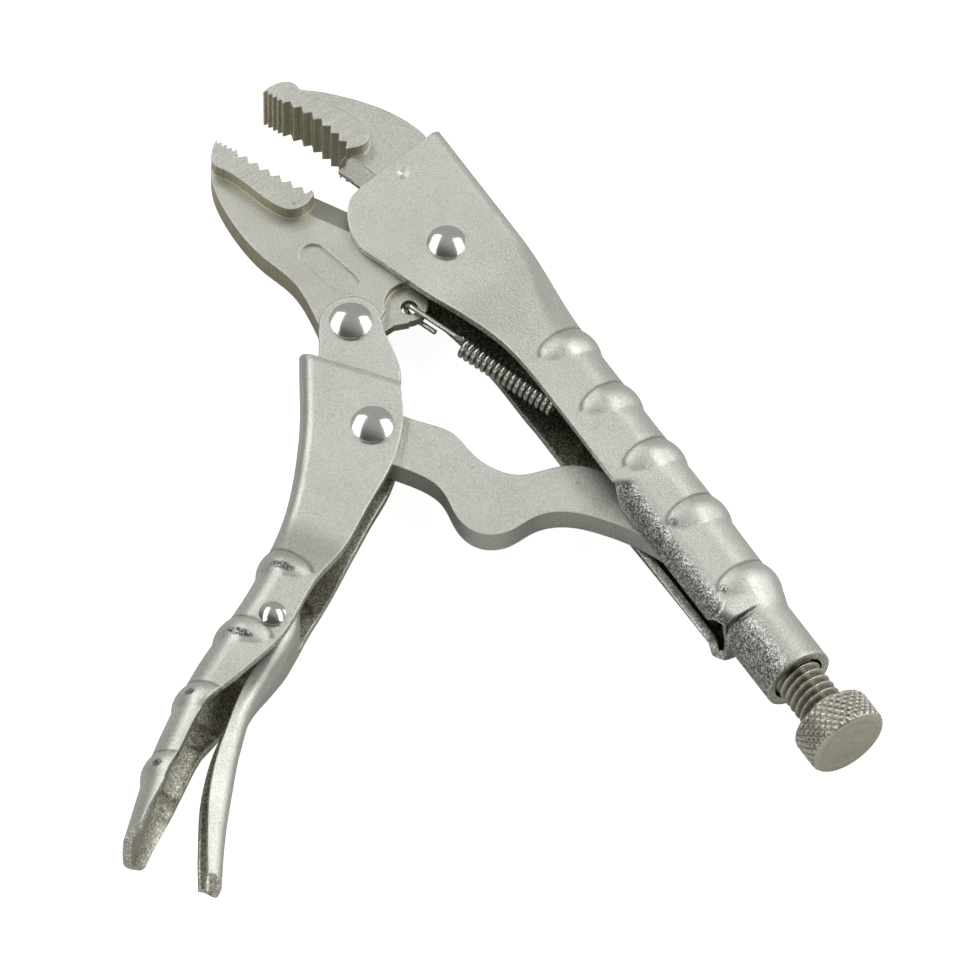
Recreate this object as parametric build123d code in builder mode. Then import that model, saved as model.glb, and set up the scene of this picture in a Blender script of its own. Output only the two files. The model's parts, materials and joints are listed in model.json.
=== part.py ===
"""Locking pliers with curved jaws, a toggle handle, a release lever and an adjusting screw.

Modelled flat on the table: X runs along the adjusting screw towards its knob, Y points away from
the lower handle and Z is up. All places are first given from the jaw pivot at mid thickness, and
the finished pieces are then set down with the middle of the tool's footprint at the origin.
"""

import os
from math import acos, atan2, cos, pi, sin, sqrt

from build123d import *

# Pivots, from the jaw pivot
HANDLE_PIVOT = Vector(4.9, -23.9)
LINK_PIVOT = Vector(26.0, -32.9)
LEVER_PIVOT = Vector(52.2, -71.3)
SCREW_Y = 3.5
LINK_TIP = Vector(90.0, SCREW_Y)

# Sheet, plate and fit sizes
UPPER_SHEET = 1.6
LOWER_SHEET = 1.6
LEVER_SHEET = 1.2
JAW_BODY = 5.0
JAW_PAD = 11.0
LINK_PLATE = 5.3
SIDE_PLAY = 0.15
PIN_PLAY = 0.06

# Rivets
JAW_RIVET_HEAD = 7.1
MAIN_RIVET_HEAD = 7.8
LEVER_RIVET_HEAD = 5.0
MAIN_PIN = 4.6
LEVER_PIN = 3.0
HEAD_RIM = 0.45
HEAD_DOME = 1.25

# Adjusting screw
THREAD_MAJOR = 9.0
THREAD_DEPTH = 0.75
THREAD_PITCH = 1.6
BORE_PLAY = 0.1
TUBE_START = 98.2
TUBE_END = 111.1
KNOB_DIAMETER = 15.4
KNOB_LENGTH = 6.8
KNOB_START = 121.0
KNOB_BEVEL = 0.9
TIP_PLAY = 1.1
LINK_TIP_RADIUS = 3.6

# Return spring
SPRING_WIRE = 0.8
COIL_RADIUS = 1.75
COIL_PITCH = 1.26
COIL_TURNS = 17
COIL_START = 12.2
TAB_HOLE = Vector(6.2, -12.2)
TAB_HOLE_DIAMETER = 3.1
TAB_CENTRE = Vector(5.2, -12.1)
TAB_RADIUS = 3.95
TAB_PLATE = 1.9
TAB_POCKET = 4.5
ANCHOR = Vector(45.2, 1.2)
ANCHOR_RADIUS = 2.9
HOOK_REACH = 1.55
HOOK_SHIFT = 0.9
HOOK_TAIL = 2.6

# Grip ridges
RIDGE_HEIGHT = 0.75
RIDGE_LENGTH = 6.0

# Gap inside the front of each handle
FRONT_GAP = JAW_BODY + 2 * SIDE_PLAY
REAR_GAP = LINK_PLATE + 4 * SIDE_PLAY
UPPER_FRONT_HALF = FRONT_GAP / 2 + UPPER_SHEET
LOWER_FRONT_HALF = FRONT_GAP / 2 + LOWER_SHEET
LOWER_REAR_HALF = REAR_GAP / 2 + LOWER_SHEET
TUBE_BORE = THREAD_MAJOR + 2 * BORE_PLAY
TUBE_OUTER = 13.2


def teeth(start, middle, end, count, depth):
    """Zigzag points along the arc through start, middle and end: peaks on it, valleys below it."""
    line = ThreePointArc(start, middle, end, mode=Mode.PRIVATE)
    points = []
    for step in range(2 * count):
        share = step / (2 * count)
        across = (line % share).rotate(Axis.Z, 90)
        points.append(line @ share + across * (depth if step % 2 else 0))
    return points


def arc_pair(start, start_way, end, end_way):
    """Middles and ends of the two arcs that leave start and reach end along the given ways."""
    chord = end - start
    ways = start_way + end_way
    a = 2 * (1 - start_way.dot(end_way))
    b = 2 * chord.dot(ways)
    reach = (sqrt(b * b + 4 * a * chord.dot(chord)) - b) / (2 * a)
    first_corner = start + start_way * reach
    last_corner = end - end_way * reach
    joint = (first_corner + last_corner) * 0.5
    return [arc_middle(start, first_corner, joint), joint, arc_middle(joint, last_corner, end), end]


def arc_middle(start, corner, end):
    """Middle of the arc from start to end whose tangents meet at corner."""
    half = (end - start).length / 2
    middle = (start + end) * 0.5
    rise = (corner - middle).length
    side = (corner - start).length
    return middle + (corner - middle) * (half / (side + half) if rise > 0 else 0)


def side_plane(at, way):
    """Plane across the given way, its x axis to the left of that way and its y axis up."""
    return Plane(origin=at, x_dir=way.rotate(Axis.Z, 90), z_dir=way)


# Upper handle: a folded channel that flares, curls in and ends as a rolled tube
FRONT_SPINE = 12.9
GRIP_SPINE = 10.5
TAIL_SPINE = 11.1
GRIP_HALF = 9.4
TAIL_HALF = 7.4
FRONT_BEND = 2.8
GRIP_BEND = 7.0
FRONT_END = 5.0
UPPER_DEEP = -17.0
UPPER_EDGE = -4.2
CURL_START = 62.0
CURL_LENGTH = 5.0
CURL_DEEP = -4.6
CURL_SLOT = LINK_PLATE + 1.5
SHOULDER = 96.8
SLOT_END = 94.0
UPPER_RIDGES = (32.4, 46.3, 60.4, 74.6, 91.6)
RIDGE_FLOOR = 2.3
RIDGE_DEPTH = 17.0


def smooth(value, start, end):
    """Share from 0 to 1 that rises gently between start and end."""
    share = min(max((value - start) / (end - start), 0), 1)
    return share * share * (3 - 2 * share)


def upper_spine(x):
    """Height of the outside of the spine above the jaw pivot."""
    fall = (FRONT_SPINE - GRIP_SPINE) * smooth(x, FRONT_END, 31)
    return FRONT_SPINE - fall + (TAIL_SPINE - GRIP_SPINE) * smooth(x, 50, 75)


def upper_half(x):
    """Half of the outer width: narrow at the jaws, wide in the grip, narrower at the tail."""
    flare = (GRIP_HALF - UPPER_FRONT_HALF) * smooth(x, FRONT_END, 34)
    return UPPER_FRONT_HALF + flare - (GRIP_HALF - TAIL_HALF) * smooth(x, 45, SHOULDER)


def upper_bend(x):
    """Outer bend radius between the spine and the walls."""
    return FRONT_BEND + (GRIP_BEND - FRONT_BEND) * smooth(x, FRONT_END, 34)


def across_x(x):
    """Plane across the X axis, with its own x along Y and its own y up."""
    return Plane(origin=(x, 0, 0), x_dir=(0, 1, 0), z_dir=(1, 0, 0))


with BuildPart() as upper_ridges:
    for ridge in UPPER_RIDGES:
        for step in (-1, 0, 1):
            x = ridge + step * RIDGE_LENGTH / 2
            swell = RIDGE_HEIGHT if step == 0 else -0.1
            side = 0.6 * swell
            with BuildSketch(across_x(x)):
                with Locations((upper_spine(x) + swell - RIDGE_DEPTH / 2, 0)):
                    RectangleRounded(RIDGE_DEPTH, 2 * (upper_half(x) + side), upper_bend(x) + side)
        loft()
    split(bisect_by=Plane.XZ.offset(-RIDGE_FLOOR), keep=Keep.BOTTOM)

with BuildPart() as upper_handle:
    for inset in (0, UPPER_SHEET):
        way = Mode.SUBTRACT if inset else Mode.ADD
        # straight front
        with BuildSketch(across_x(-30)):
            with Locations(((FRONT_SPINE + UPPER_DEEP) / 2, 0)):
                RectangleRounded(
                    FRONT_SPINE - UPPER_DEEP - 2 * inset, 2 * (UPPER_FRONT_HALF - inset), FRONT_BEND - inset
                )
        extrude(amount=30 + FRONT_END, mode=way)
        # flare and grip
        for x in (FRONT_END, 9, 14, 19, 24, 29, 34, 42, 52, CURL_START):
            tall = upper_spine(x) - UPPER_DEEP - 2 * inset
            with BuildSketch(across_x(x)):
                with Locations(((upper_spine(x) + UPPER_DEEP) / 2, 0)):
                    RectangleRounded(tall, 2 * (upper_half(x) - inset), upper_bend(x) - inset)
        loft(mode=way)
        # walls curled in, and the shoulder of the tube
        for x in (CURL_START, CURL_START + CURL_LENGTH, 80, SHOULDER):
            deep = UPPER_DEEP if x == CURL_START else CURL_DEEP
            tall = upper_spine(x) - deep - 2 * inset
            with BuildSketch(across_x(x)):
                with Locations(((upper_spine(x) + deep) / 2, 0)):
                    RectangleRounded(tall, 2 * (upper_half(x) - inset), upper_bend(x) - inset)
        with BuildSketch(across_x(TUBE_START)):
            with Locations((SCREW_Y, 0)):
                across = TUBE_OUTER - 2 * inset
                RectangleRounded(across, across, across / 2 - 0.05)
        loft(ruled=True, mode=way)
        if inset == 0:
            add(upper_ridges.part)
    # rolled tube for the screw
    with BuildSketch(across_x(TUBE_START)):
        with Locations((SCREW_Y, 0)):
            Circle(TUBE_OUTER / 2)
    extrude(amount=TUBE_END - TUBE_START)
    with BuildSketch(across_x(TUBE_START - 1)):
        with Locations((SCREW_Y, 0)):
            Circle(TUBE_BORE / 2)
    extrude(amount=TUBE_END - TUBE_START + 2, mode=Mode.SUBTRACT)
    # outline seen from above: slanted front, nose and the free edge of both walls
    with BuildSketch():
        with BuildLine():
            Polyline((-20.5, 20), (-22.0, 12.0), (-21.4, 9.6), (-18.8, -6.5))
            nose = ThreePointArc((-18.8, -6.5), (-15.2, -11.7), (-8.5, -13.6))
            edge = Spline(
                (-8.5, -13.6), (3.9, -9.9), (14.3, -6.7), (24.0, -4.9), (36.0, UPPER_EDGE),
                tangents=(nose % 1, (1, 0)),
            )
            Polyline(
                edge @ 1, (CURL_START, UPPER_EDGE), (CURL_START + 3, CURL_DEEP - 0.2),
                (130, CURL_DEEP - 0.2),
                (130, 20), (-20.5, 20),
            )
        make_face()
    extrude(amount=20, both=True, mode=Mode.INTERSECT)
    # slot between the curled walls
    with BuildSketch(Plane.XZ.offset(20)):
        with Locations(((CURL_START + SLOT_END) / 2 - 2, 0)):
            RectangleRounded(SLOT_END - CURL_START + 4, CURL_SLOT, 1.5)
    extrude(amount=-20, mode=Mode.SUBTRACT)
    # tongue that the spring hooks into
    with BuildSketch(Plane.XY.offset(-TAB_PLATE / 2)):
        root = GRIP_SPINE - UPPER_SHEET / 2
        with Locations((ANCHOR.X, ANCHOR.Y)):
            Circle(ANCHOR_RADIUS)
        with Locations((ANCHOR.X, (ANCHOR.Y + root) / 2)):
            Rectangle(2 * ANCHOR_RADIUS, root - ANCHOR.Y)
        with Locations((ANCHOR.X, ANCHOR.Y)):
            Circle(TAB_HOLE_DIAMETER / 2, mode=Mode.SUBTRACT)
    extrude(amount=TAB_PLATE)
    # hole for the jaw rivet
    Cylinder(MAIN_PIN / 2, 40, mode=Mode.SUBTRACT)

# Jaws: fine teeth at the tip, coarse teeth behind them, and a wire cutter in the neck
FINE_TEETH = 4
COARSE_TEETH = 7
FINE_DEPTH = 0.7
COARSE_DEPTH = 1.1
CUTTER_LAND = 0.25
CUTTER_LENGTH = 13.0


def cutter_slope(width):
    """Corners of the wedge taken off one side of a cutting edge: across the edge, then up."""
    top = JAW_BODY / 2
    slope = [(-2, CUTTER_LAND), (0, CUTTER_LAND), (width, top)]
    return slope + [(width, top + 1), (-2, top + 1), (-2, CUTTER_LAND)]


# Fixed jaw: a forged plate with a thick toothed pad, gripped in the front of the upper handle
FIXED_TIP = (-45.2, -10.6)
FIXED_STEP = (-41.2, -9.0)
FIXED_REAR = (-26.6, -4.7)
FIXED_CUTTER = Vector(-26.0, -6.9)
FIXED_CUTTER_WAY = Vector(0.966, 0.259)
FIXED_SLOPE = 3.2

with BuildPart() as fixed_jaw:
    with BuildSketch(Plane.XY.offset(-FRONT_GAP / 2)):
        with BuildLine():
            back = Spline((-44.6, -5.4), (-42.0, -1.7), (-37.5, 2.6), (-31.3, 7.0), (-23.2, 10.0))
            Polyline(back @ 1, (-5.0, 10.0), (-5.0, 6.6))
            ThreePointArc((-5.0, 6.6), (-7.8, 2.7), (-8.3, -0.2))
            Polyline(
                (-8.3, -0.2), (-10.0, -1.3), (-13.5, -3.3), (-26.0, -6.7), (-27.5, -3.0), (-43.0, -7.5),
                back @ 0,
            )
        make_face()
    extrude(amount=FRONT_GAP)
    for face in (1, -1):
        across = FIXED_CUTTER_WAY.rotate(Axis.Z, 90)
        with BuildSketch(Plane(origin=FIXED_CUTTER, x_dir=across, z_dir=FIXED_CUTTER_WAY)):
            with BuildLine():
                Polyline(*[(point[0], face * point[1]) for point in cutter_slope(FIXED_SLOPE)])
            make_face()
        extrude(amount=8.0, mode=Mode.SUBTRACT)
    with BuildSketch(Plane.XY.offset(-JAW_PAD / 2)):
        with BuildLine():
            fine = teeth(FIXED_TIP, (-43.2, -9.85), FIXED_STEP, FINE_TEETH, FINE_DEPTH)
            coarse = teeth(FIXED_STEP, (-33.6, -5.7), FIXED_REAR, COARSE_TEETH, COARSE_DEPTH)
            Polyline(*fine, *coarse, FIXED_REAR)
            Spline(FIXED_REAR, (-27.3, 0.7), (-29.5, 0.9), (-33.5, -0.4), (-39.0, -3.2), (-42.3, -4.7))
            Spline((-42.3, -4.7), (-44.3, -5.2), (-45.5, -8.0), FIXED_TIP)
        make_face()
    extrude(amount=JAW_PAD)

# Movable jaw: hub on the jaw rivet, lobe on the handle rivet, thin tab for the spring
MOVABLE_TIP = (-41.1, -23.2)
MOVABLE_STEP = (-37.2, -21.4)
MOVABLE_REAR = (-21.8, -14.7)
MOVABLE_CUTTER = Vector(-24.0, -13.6)
MOVABLE_CUTTER_WAY = Vector(0.874, 0.486)
MOVABLE_SLOPE = 5.0
RECESS_CENTRE = (-7.9, -20.4)
RECESS_TURN = 11.4
RECESS_LENGTH = 13.4
RECESS_WIDTH = 5.0
RECESS_DEPTH = 0.5

with BuildPart() as movable_jaw:
    with BuildSketch(Plane.XY.offset(-JAW_BODY / 2)):
        with BuildLine():
            outer = Spline(
                (-40.9, -23.6), (-37.0, -27.2), (-29.0, -29.4), (-23.4, -29.7), (-16.3, -29.0),
                (-9.6, -27.4), (-2.7, -27.8), (3.5, -29.0),
            )
            ThreePointArc((3.5, -29.0), (9.9, -25.0), (8.4, -20.2))
            Spline((8.4, -20.2), (4.8, -16.0), (3.9, -12.0), (4.6, -8.0), (7.1, -2.1))
            ThreePointArc((7.1, -2.1), (-2.0, 7.1), (-7.2, -1.6))
            Polyline(
                (-7.2, -1.6), (-9.6, -4.9), (-12.6, -7.3), (-24.0, -13.6), (-24.0, -16.5), (-38.0, -22.6),
                outer @ 0,
            )
        make_face()
    extrude(amount=JAW_BODY)
    for face in (1, -1):
        across = MOVABLE_CUTTER_WAY.rotate(Axis.Z, -90)
        with BuildSketch(Plane(origin=MOVABLE_CUTTER, x_dir=across, z_dir=MOVABLE_CUTTER_WAY)):
            with BuildLine():
                Polyline(*[(point[0], face * point[1]) for point in cutter_slope(MOVABLE_SLOPE)])
            make_face()
        extrude(amount=CUTTER_LENGTH, mode=Mode.SUBTRACT)
    with BuildSketch(Plane.XY.offset(-JAW_PAD / 2)):
        with BuildLine():
            fine = teeth(MOVABLE_TIP, (-39.15, -22.35), MOVABLE_STEP, FINE_TEETH, -FINE_DEPTH)
            coarse = teeth(MOVABLE_STEP, (-29.5, -18.4), MOVABLE_REAR, COARSE_TEETH, -COARSE_DEPTH)
            Polyline(*fine, *coarse, MOVABLE_REAR)
            Spline(
                MOVABLE_REAR, (-20.4, -17.6), (-20.6, -19.6), (-24.4, -22.4), (-32.2, -24.6), (-36.4, -26.7),
            )
            Spline((-36.4, -26.7), (-38.4, -26.2), (-40.2, -24.6), MOVABLE_TIP)
        make_face()
    extrude(amount=JAW_PAD)
    # tab with the spring hole
    with BuildSketch(Plane.XY.offset(-TAB_PLATE / 2)):
        with Locations((TAB_CENTRE.X, TAB_CENTRE.Y)):
            Circle(TAB_RADIUS)
        with BuildLine():
            Polyline((3.0, -20.0), (8.2, -18.8), (8.0, -16.6), (9.0, -14.0), (5.0, -12.0), (3.0, -20.0))
        make_face()
    extrude(amount=TAB_PLATE)
    # round pocket on both faces, down to the tab
    for face in (1, -1):
        with BuildSketch(Plane.XY.offset(face * TAB_PLATE / 2)):
            with Locations((TAB_HOLE.X, TAB_HOLE.Y)):
                Circle(TAB_POCKET)
        extrude(amount=face * JAW_BODY, mode=Mode.SUBTRACT)
    with Locations((TAB_HOLE.X, TAB_HOLE.Y)):
        Cylinder(TAB_HOLE_DIAMETER / 2, 2 * TAB_PLATE, mode=Mode.SUBTRACT)
    # bare oval recess on both faces
    for face in (1, -1):
        with BuildSketch(Plane.XY.offset(face * JAW_BODY / 2)):
            with Locations(Location(RECESS_CENTRE, RECESS_TURN)):
                SlotOverall(RECESS_LENGTH, RECESS_WIDTH)
        extrude(amount=-face * RECESS_DEPTH, mode=Mode.SUBTRACT)
    # pivot holes
    Cylinder(MAIN_PIN / 2 + PIN_PLAY, 40, mode=Mode.SUBTRACT)
    with Locations((HANDLE_PIVOT.X, HANDLE_PIVOT.Y)):
        Cylinder(MAIN_PIN / 2 + PIN_PLAY, 40, mode=Mode.SUBTRACT)

# Lower handle: a folded channel with a forked front, a wide middle and a wider tail
LOWER_SPINE = [
    (5.0, -35.2), (20.0, -45.0), (32.4, -56.0), (41.2, -67.6), (52.8, -88.8), (64.3, -105.4),
    (76.5, -119.1),
]
LOWER_DEPTH = 30.0
LOWER_GRIP_HALF = 7.9
LOWER_TAIL_HALF = 8.9
LOWER_SPANS = (
    (0, 0.1, 0.2, 0.31),
    (0.31, 0.34, 0.37, 0.40, 0.44),
    (0.44, 0.50, 0.56),
    (0.56, 0.62, 0.68, 0.74, 0.82, 0.91, 1),
)
LOWER_RIDGES = (0.42, 0.565, 0.715, 0.86)
LOWER_RIDGE_DEPTH = 12.4
TAIL_ROUND = 5.0

lower_curve = Spline(*LOWER_SPINE)


def lower_half(share):
    """Half of the outer width at a share of the spine's length."""
    grip = (LOWER_GRIP_HALF - LOWER_REAR_HALF) * smooth(share, 0.31, 0.44)
    return LOWER_REAR_HALF + grip + (LOWER_TAIL_HALF - LOWER_GRIP_HALF) * smooth(share, 0.56, 0.74)


def lower_bend(share):
    """Outer bend radius at a share of the spine's length."""
    return FRONT_BEND + 2.7 * smooth(share, 0.31, 0.44)


with BuildPart() as lower_ridges:
    for ridge in LOWER_RIDGES:
        for step in (-1, 0, 1):
            share = ridge + step * RIDGE_LENGTH / 2 / lower_curve.length
            swell = RIDGE_HEIGHT if step == 0 else -0.1
            side = 0.6 * swell
            with BuildSketch(side_plane(lower_curve @ share, lower_curve % share)):
                with Locations((LOWER_RIDGE_DEPTH / 2 - swell, 0)):
                    wide = 2 * (lower_half(share) + side)
                    RectangleRounded(LOWER_RIDGE_DEPTH, wide, lower_bend(share) + side)
        loft()

with BuildPart() as lower_handle:
    for inset in (0, LOWER_SHEET):
        for span in LOWER_SPANS:
            for share in span:
                wide = 2 * (lower_half(share) - inset)
                with BuildSketch(side_plane(lower_curve @ share, lower_curve % share)):
                    with Locations((LOWER_DEPTH / 2, 0)):
                        RectangleRounded(LOWER_DEPTH - 2 * inset, wide, lower_bend(share) - inset)
            loft(mode=Mode.SUBTRACT if inset else Mode.ADD)
        if inset == 0:
            add(lower_ridges.part)
    # free edge of both walls seen from above
    with BuildSketch():
        with BuildLine():
            rim = Spline(
                (20.6, -23.4), (27.5, -27.2), (35.1, -34.9), (39.6, -42.2), (45.9, -52.4), (50.5, -61.6),
                (56.6, -72.0), (59.2, -81.6), (61.9, -92.1), (67.9, -101.6), (76.9, -115.1), (81.0, -121.0),
            )
            Polyline(rim @ 1, (60, -140), (-20, -60), (5.9, -35.2), (7.2, -33.4), rim @ 0)
        make_face()
    extrude(amount=20, both=True, mode=Mode.INTERSECT)
    # rounded tail
    tail = lower_curve @ 1
    tail_way = lower_curve % 1
    with BuildSketch(Plane(origin=tail, x_dir=tail_way, z_dir=tail_way.rotate(Axis.Z, 90))):
        Rectangle(2 * TAIL_ROUND, 40)
        with Locations((-TAIL_ROUND, 0)):
            Ellipse(TAIL_ROUND, LOWER_TAIL_HALF + 0.2, mode=Mode.SUBTRACT)
    extrude(amount=20, both=True, mode=Mode.SUBTRACT)
    # forked front that holds the jaw
    for face in (1, -1):
        with BuildSketch(Plane.XY.offset(face * FRONT_GAP / 2)):
            with BuildLine():
                ThreePointArc((8.6, -19.4), (2.6, -18.7), (0.6, -27.6))
                Polyline(
                    (0.6, -27.6), (2.9, -29.6), (6.4, -31.8), (5.9, -34.4), (7.4, -35.4), (21.5, -25.0),
                    (20.6, -23.4), (8.6, -19.4),
                )
            make_face()
        extrude(amount=face * LOWER_SHEET)
    for pivot, pin in ((HANDLE_PIVOT, MAIN_PIN), (LINK_PIVOT, MAIN_PIN), (LEVER_PIVOT, LEVER_PIN)):
        with Locations((pivot.X, pivot.Y)):
            Cylinder(pin / 2, 40, mode=Mode.SUBTRACT)

# Toggle link: a bent plate from the link rivet to the tip of the screw
with BuildPart() as toggle_link:
    with BuildSketch(Plane.XY.offset(-LINK_PLATE / 2)):
        with BuildLine():
            tip_top = (LINK_TIP.X, LINK_TIP.Y + LINK_TIP_RADIUS)
            tip_end = (LINK_TIP.X + LINK_TIP_RADIUS, LINK_TIP.Y)
            tip_low = (LINK_TIP.X, LINK_TIP.Y - LINK_TIP_RADIUS)
            Spline(
                (24.6, -27.2), (29.4, -24.2), (34.3, -21.0), (39.8, -20.4), (44.7, -18.9), (48.5, -15.6),
                (50.1, -10.9), (52.6, -5.7), (57.5, -1.8), (66.0, 3.6), (78.0, 6.8), tip_top,
            )
            ThreePointArc(tip_top, tip_end, tip_low)
            Spline(
                tip_low, (80.0, -1.2), (71.0, -4.4), (64.3, -8.6), (59.6, -13.1), (57.5, -18.6),
                (57.5, -24.4), (54.9, -28.7), (50.1, -30.1), (43.3, -29.3), (37.1, -31.7), (28.0, -38.6),
            )
            ThreePointArc((28.0, -38.6), (20.2, -34.5), (24.6, -27.2))
        make_face()
    extrude(amount=LINK_PLATE)
    with Locations((LINK_PIVOT.X, LINK_PIVOT.Y)):
        Cylinder(MAIN_PIN / 2 + PIN_PLAY, 40, mode=Mode.SUBTRACT)

# Release lever: a small folded channel turned towards the lower handle
LEVER_SPINE = [
    (51.0, -64.8), (54.7, -67.2), (58.1, -71.4), (61.3, -77.3), (64.3, -83.6), (69.9, -90.0), (76.5, -96.0),
    (84.1, -102.4), (92.9, -108.9),
]
LEVER_DEPTH = 12.0
LEVER_HEAD_HALF = 5.5
LEVER_HALF = 3.5
LEVER_BEND = 2.3
LEVER_ROUND = 2.6

lever_curve = Spline(*LEVER_SPINE)

with BuildPart() as release_lever:
    for inset in (0, LEVER_SHEET):
        for share in (0, 0.25, 0.5, 0.75, 1):
            half = LEVER_HEAD_HALF - (LEVER_HEAD_HALF - LEVER_HALF) * smooth(share, 0.12, 0.34)
            with BuildSketch(side_plane(lever_curve @ share, lever_curve % share)):
                with Locations((-LEVER_DEPTH / 2, 0)):
                    RectangleRounded(LEVER_DEPTH - 2 * inset, 2 * (half - inset), LEVER_BEND - inset)
        loft(mode=Mode.SUBTRACT if inset else Mode.ADD)
    with BuildSketch():
        with BuildLine():
            rim = Spline(
                (48.6, -67.0), (48.3, -73.0), (53.2, -75.4), (56.0, -76.2), (59.0, -81.6), (63.4, -88.4),
                (67.9, -94.0), (74.6, -101.0), (82.6, -106.6), (92.0, -113.2),
            )
            Polyline(rim @ 1, (100, -100), (60, -50), (48, -60), rim @ 0)
        make_face()
    extrude(amount=20, both=True, mode=Mode.INTERSECT)
    # rounded end
    end = lever_curve @ 1
    end_way = lever_curve % 1
    with BuildSketch(Plane(origin=end, x_dir=end_way, z_dir=end_way.rotate(Axis.Z, 90))):
        Rectangle(2 * LEVER_ROUND, 20)
        with Locations((-LEVER_ROUND, 0)):
            Ellipse(LEVER_ROUND, LEVER_HALF + 0.2, mode=Mode.SUBTRACT)
    extrude(amount=12, both=True, mode=Mode.SUBTRACT)
    with Locations((LEVER_PIVOT.X, LEVER_PIVOT.Y)):
        Cylinder(LEVER_PIN / 2 + PIN_PLAY, 40, mode=Mode.SUBTRACT)

# Adjusting screw: threaded shank along X, and its knob
SCREW_TIP = LINK_TIP.X + LINK_TIP_RADIUS + TIP_PLAY

with BuildPart() as adjusting_screw:
    with BuildSketch(Plane.XY):
        with BuildLine():
            turns = int((KNOB_START - SCREW_TIP) / THREAD_PITCH)
            crest = SCREW_Y + THREAD_MAJOR / 2
            root = crest - THREAD_DEPTH
            zigzag = [(SCREW_TIP, SCREW_Y), (SCREW_TIP, root - 0.6)]
            for turn in range(turns):
                start = SCREW_TIP + 0.6 + turn * THREAD_PITCH
                zigzag += [(start, root), (start + THREAD_PITCH / 2, crest)]
            zigzag += [(KNOB_START, root), (KNOB_START, SCREW_Y), zigzag[0]]
            Polyline(*zigzag)
        make_face()
    revolve(axis=Axis((0, SCREW_Y, 0), (1, 0, 0)))

with BuildPart() as screw_knob:
    with BuildSketch(Plane(origin=(KNOB_START, SCREW_Y, 0), x_dir=(0, 1, 0), z_dir=(1, 0, 0))):
        Circle(KNOB_DIAMETER / 2)
    extrude(amount=KNOB_LENGTH)
    chamfer(screw_knob.edges().filter_by(GeomType.CIRCLE), KNOB_BEVEL)


def rivet(at, pin, head, half_width):
    """Solid rivet standing at a pivot: a pin and a domed head seated on each side."""
    with BuildPart() as made:
        with BuildSketch(Plane.XZ):
            with BuildLine():
                top = half_width + HEAD_RIM
                Polyline(
                    (0, 0), (pin / 2, 0), (pin / 2, half_width), (head / 2, half_width), (head / 2, top),
                )
                rise = HEAD_DOME - HEAD_RIM
                ball = (head * head / 4 + rise * rise) / (2 * rise)
                lean = acos(1 - rise / 2 / ball)
                ThreePointArc((head / 2, top), (ball * sin(lean), top + rise - rise / 2), (0, top + rise))
                Line((0, top + rise), (0, 0))
            make_face()
        revolve(axis=Axis.Z)
        mirror(about=Plane.XY)
    return made.part.moved(Location((at.X, at.Y, 0)))


jaw_pivot_rivet = rivet(Vector(0, 0), MAIN_PIN, JAW_RIVET_HEAD, UPPER_FRONT_HALF)
handle_pivot_rivet = rivet(HANDLE_PIVOT, MAIN_PIN, MAIN_RIVET_HEAD, LOWER_FRONT_HALF)
link_pivot_rivet = rivet(LINK_PIVOT, MAIN_PIN, MAIN_RIVET_HEAD, LOWER_REAR_HALF)
lever_pivot_rivet = rivet(LEVER_PIVOT, LEVER_PIN, LEVER_RIVET_HEAD, LOWER_GRIP_HALF)

# Return spring: hook, coil and hook in one wire, from the jaw's tab to the handle's tongue
pull = (ANCHOR - TAB_HOLE).normalized()
across = pull.rotate(Axis.Z, 90)
span = (ANCHOR - TAB_HOLE).length
coil_length = COIL_TURNS * COIL_PITCH
rise_angle = atan2(COIL_PITCH, 2 * pi * COIL_RADIUS)


def spring_point(along, side, up):
    """Point on the spring, from the tab's hole along the pull, across it and up."""
    return TAB_HOLE + pull * along + across * side + Vector(0, 0, up)


def coil_way(turn):
    """Direction of the wire after the given number of turns."""
    angle = 2 * pi * turn
    round_way = across * cos(angle) - Vector(0, 0, sin(angle))
    return round_way * cos(rise_angle) + pull * sin(rise_angle)


def coil_point(turn):
    """Point of the coil after the given number of turns, starting at its top."""
    angle = 2 * pi * turn
    return spring_point(COIL_START + turn * COIL_PITCH, COIL_RADIUS * sin(angle), COIL_RADIUS * cos(angle))


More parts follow.
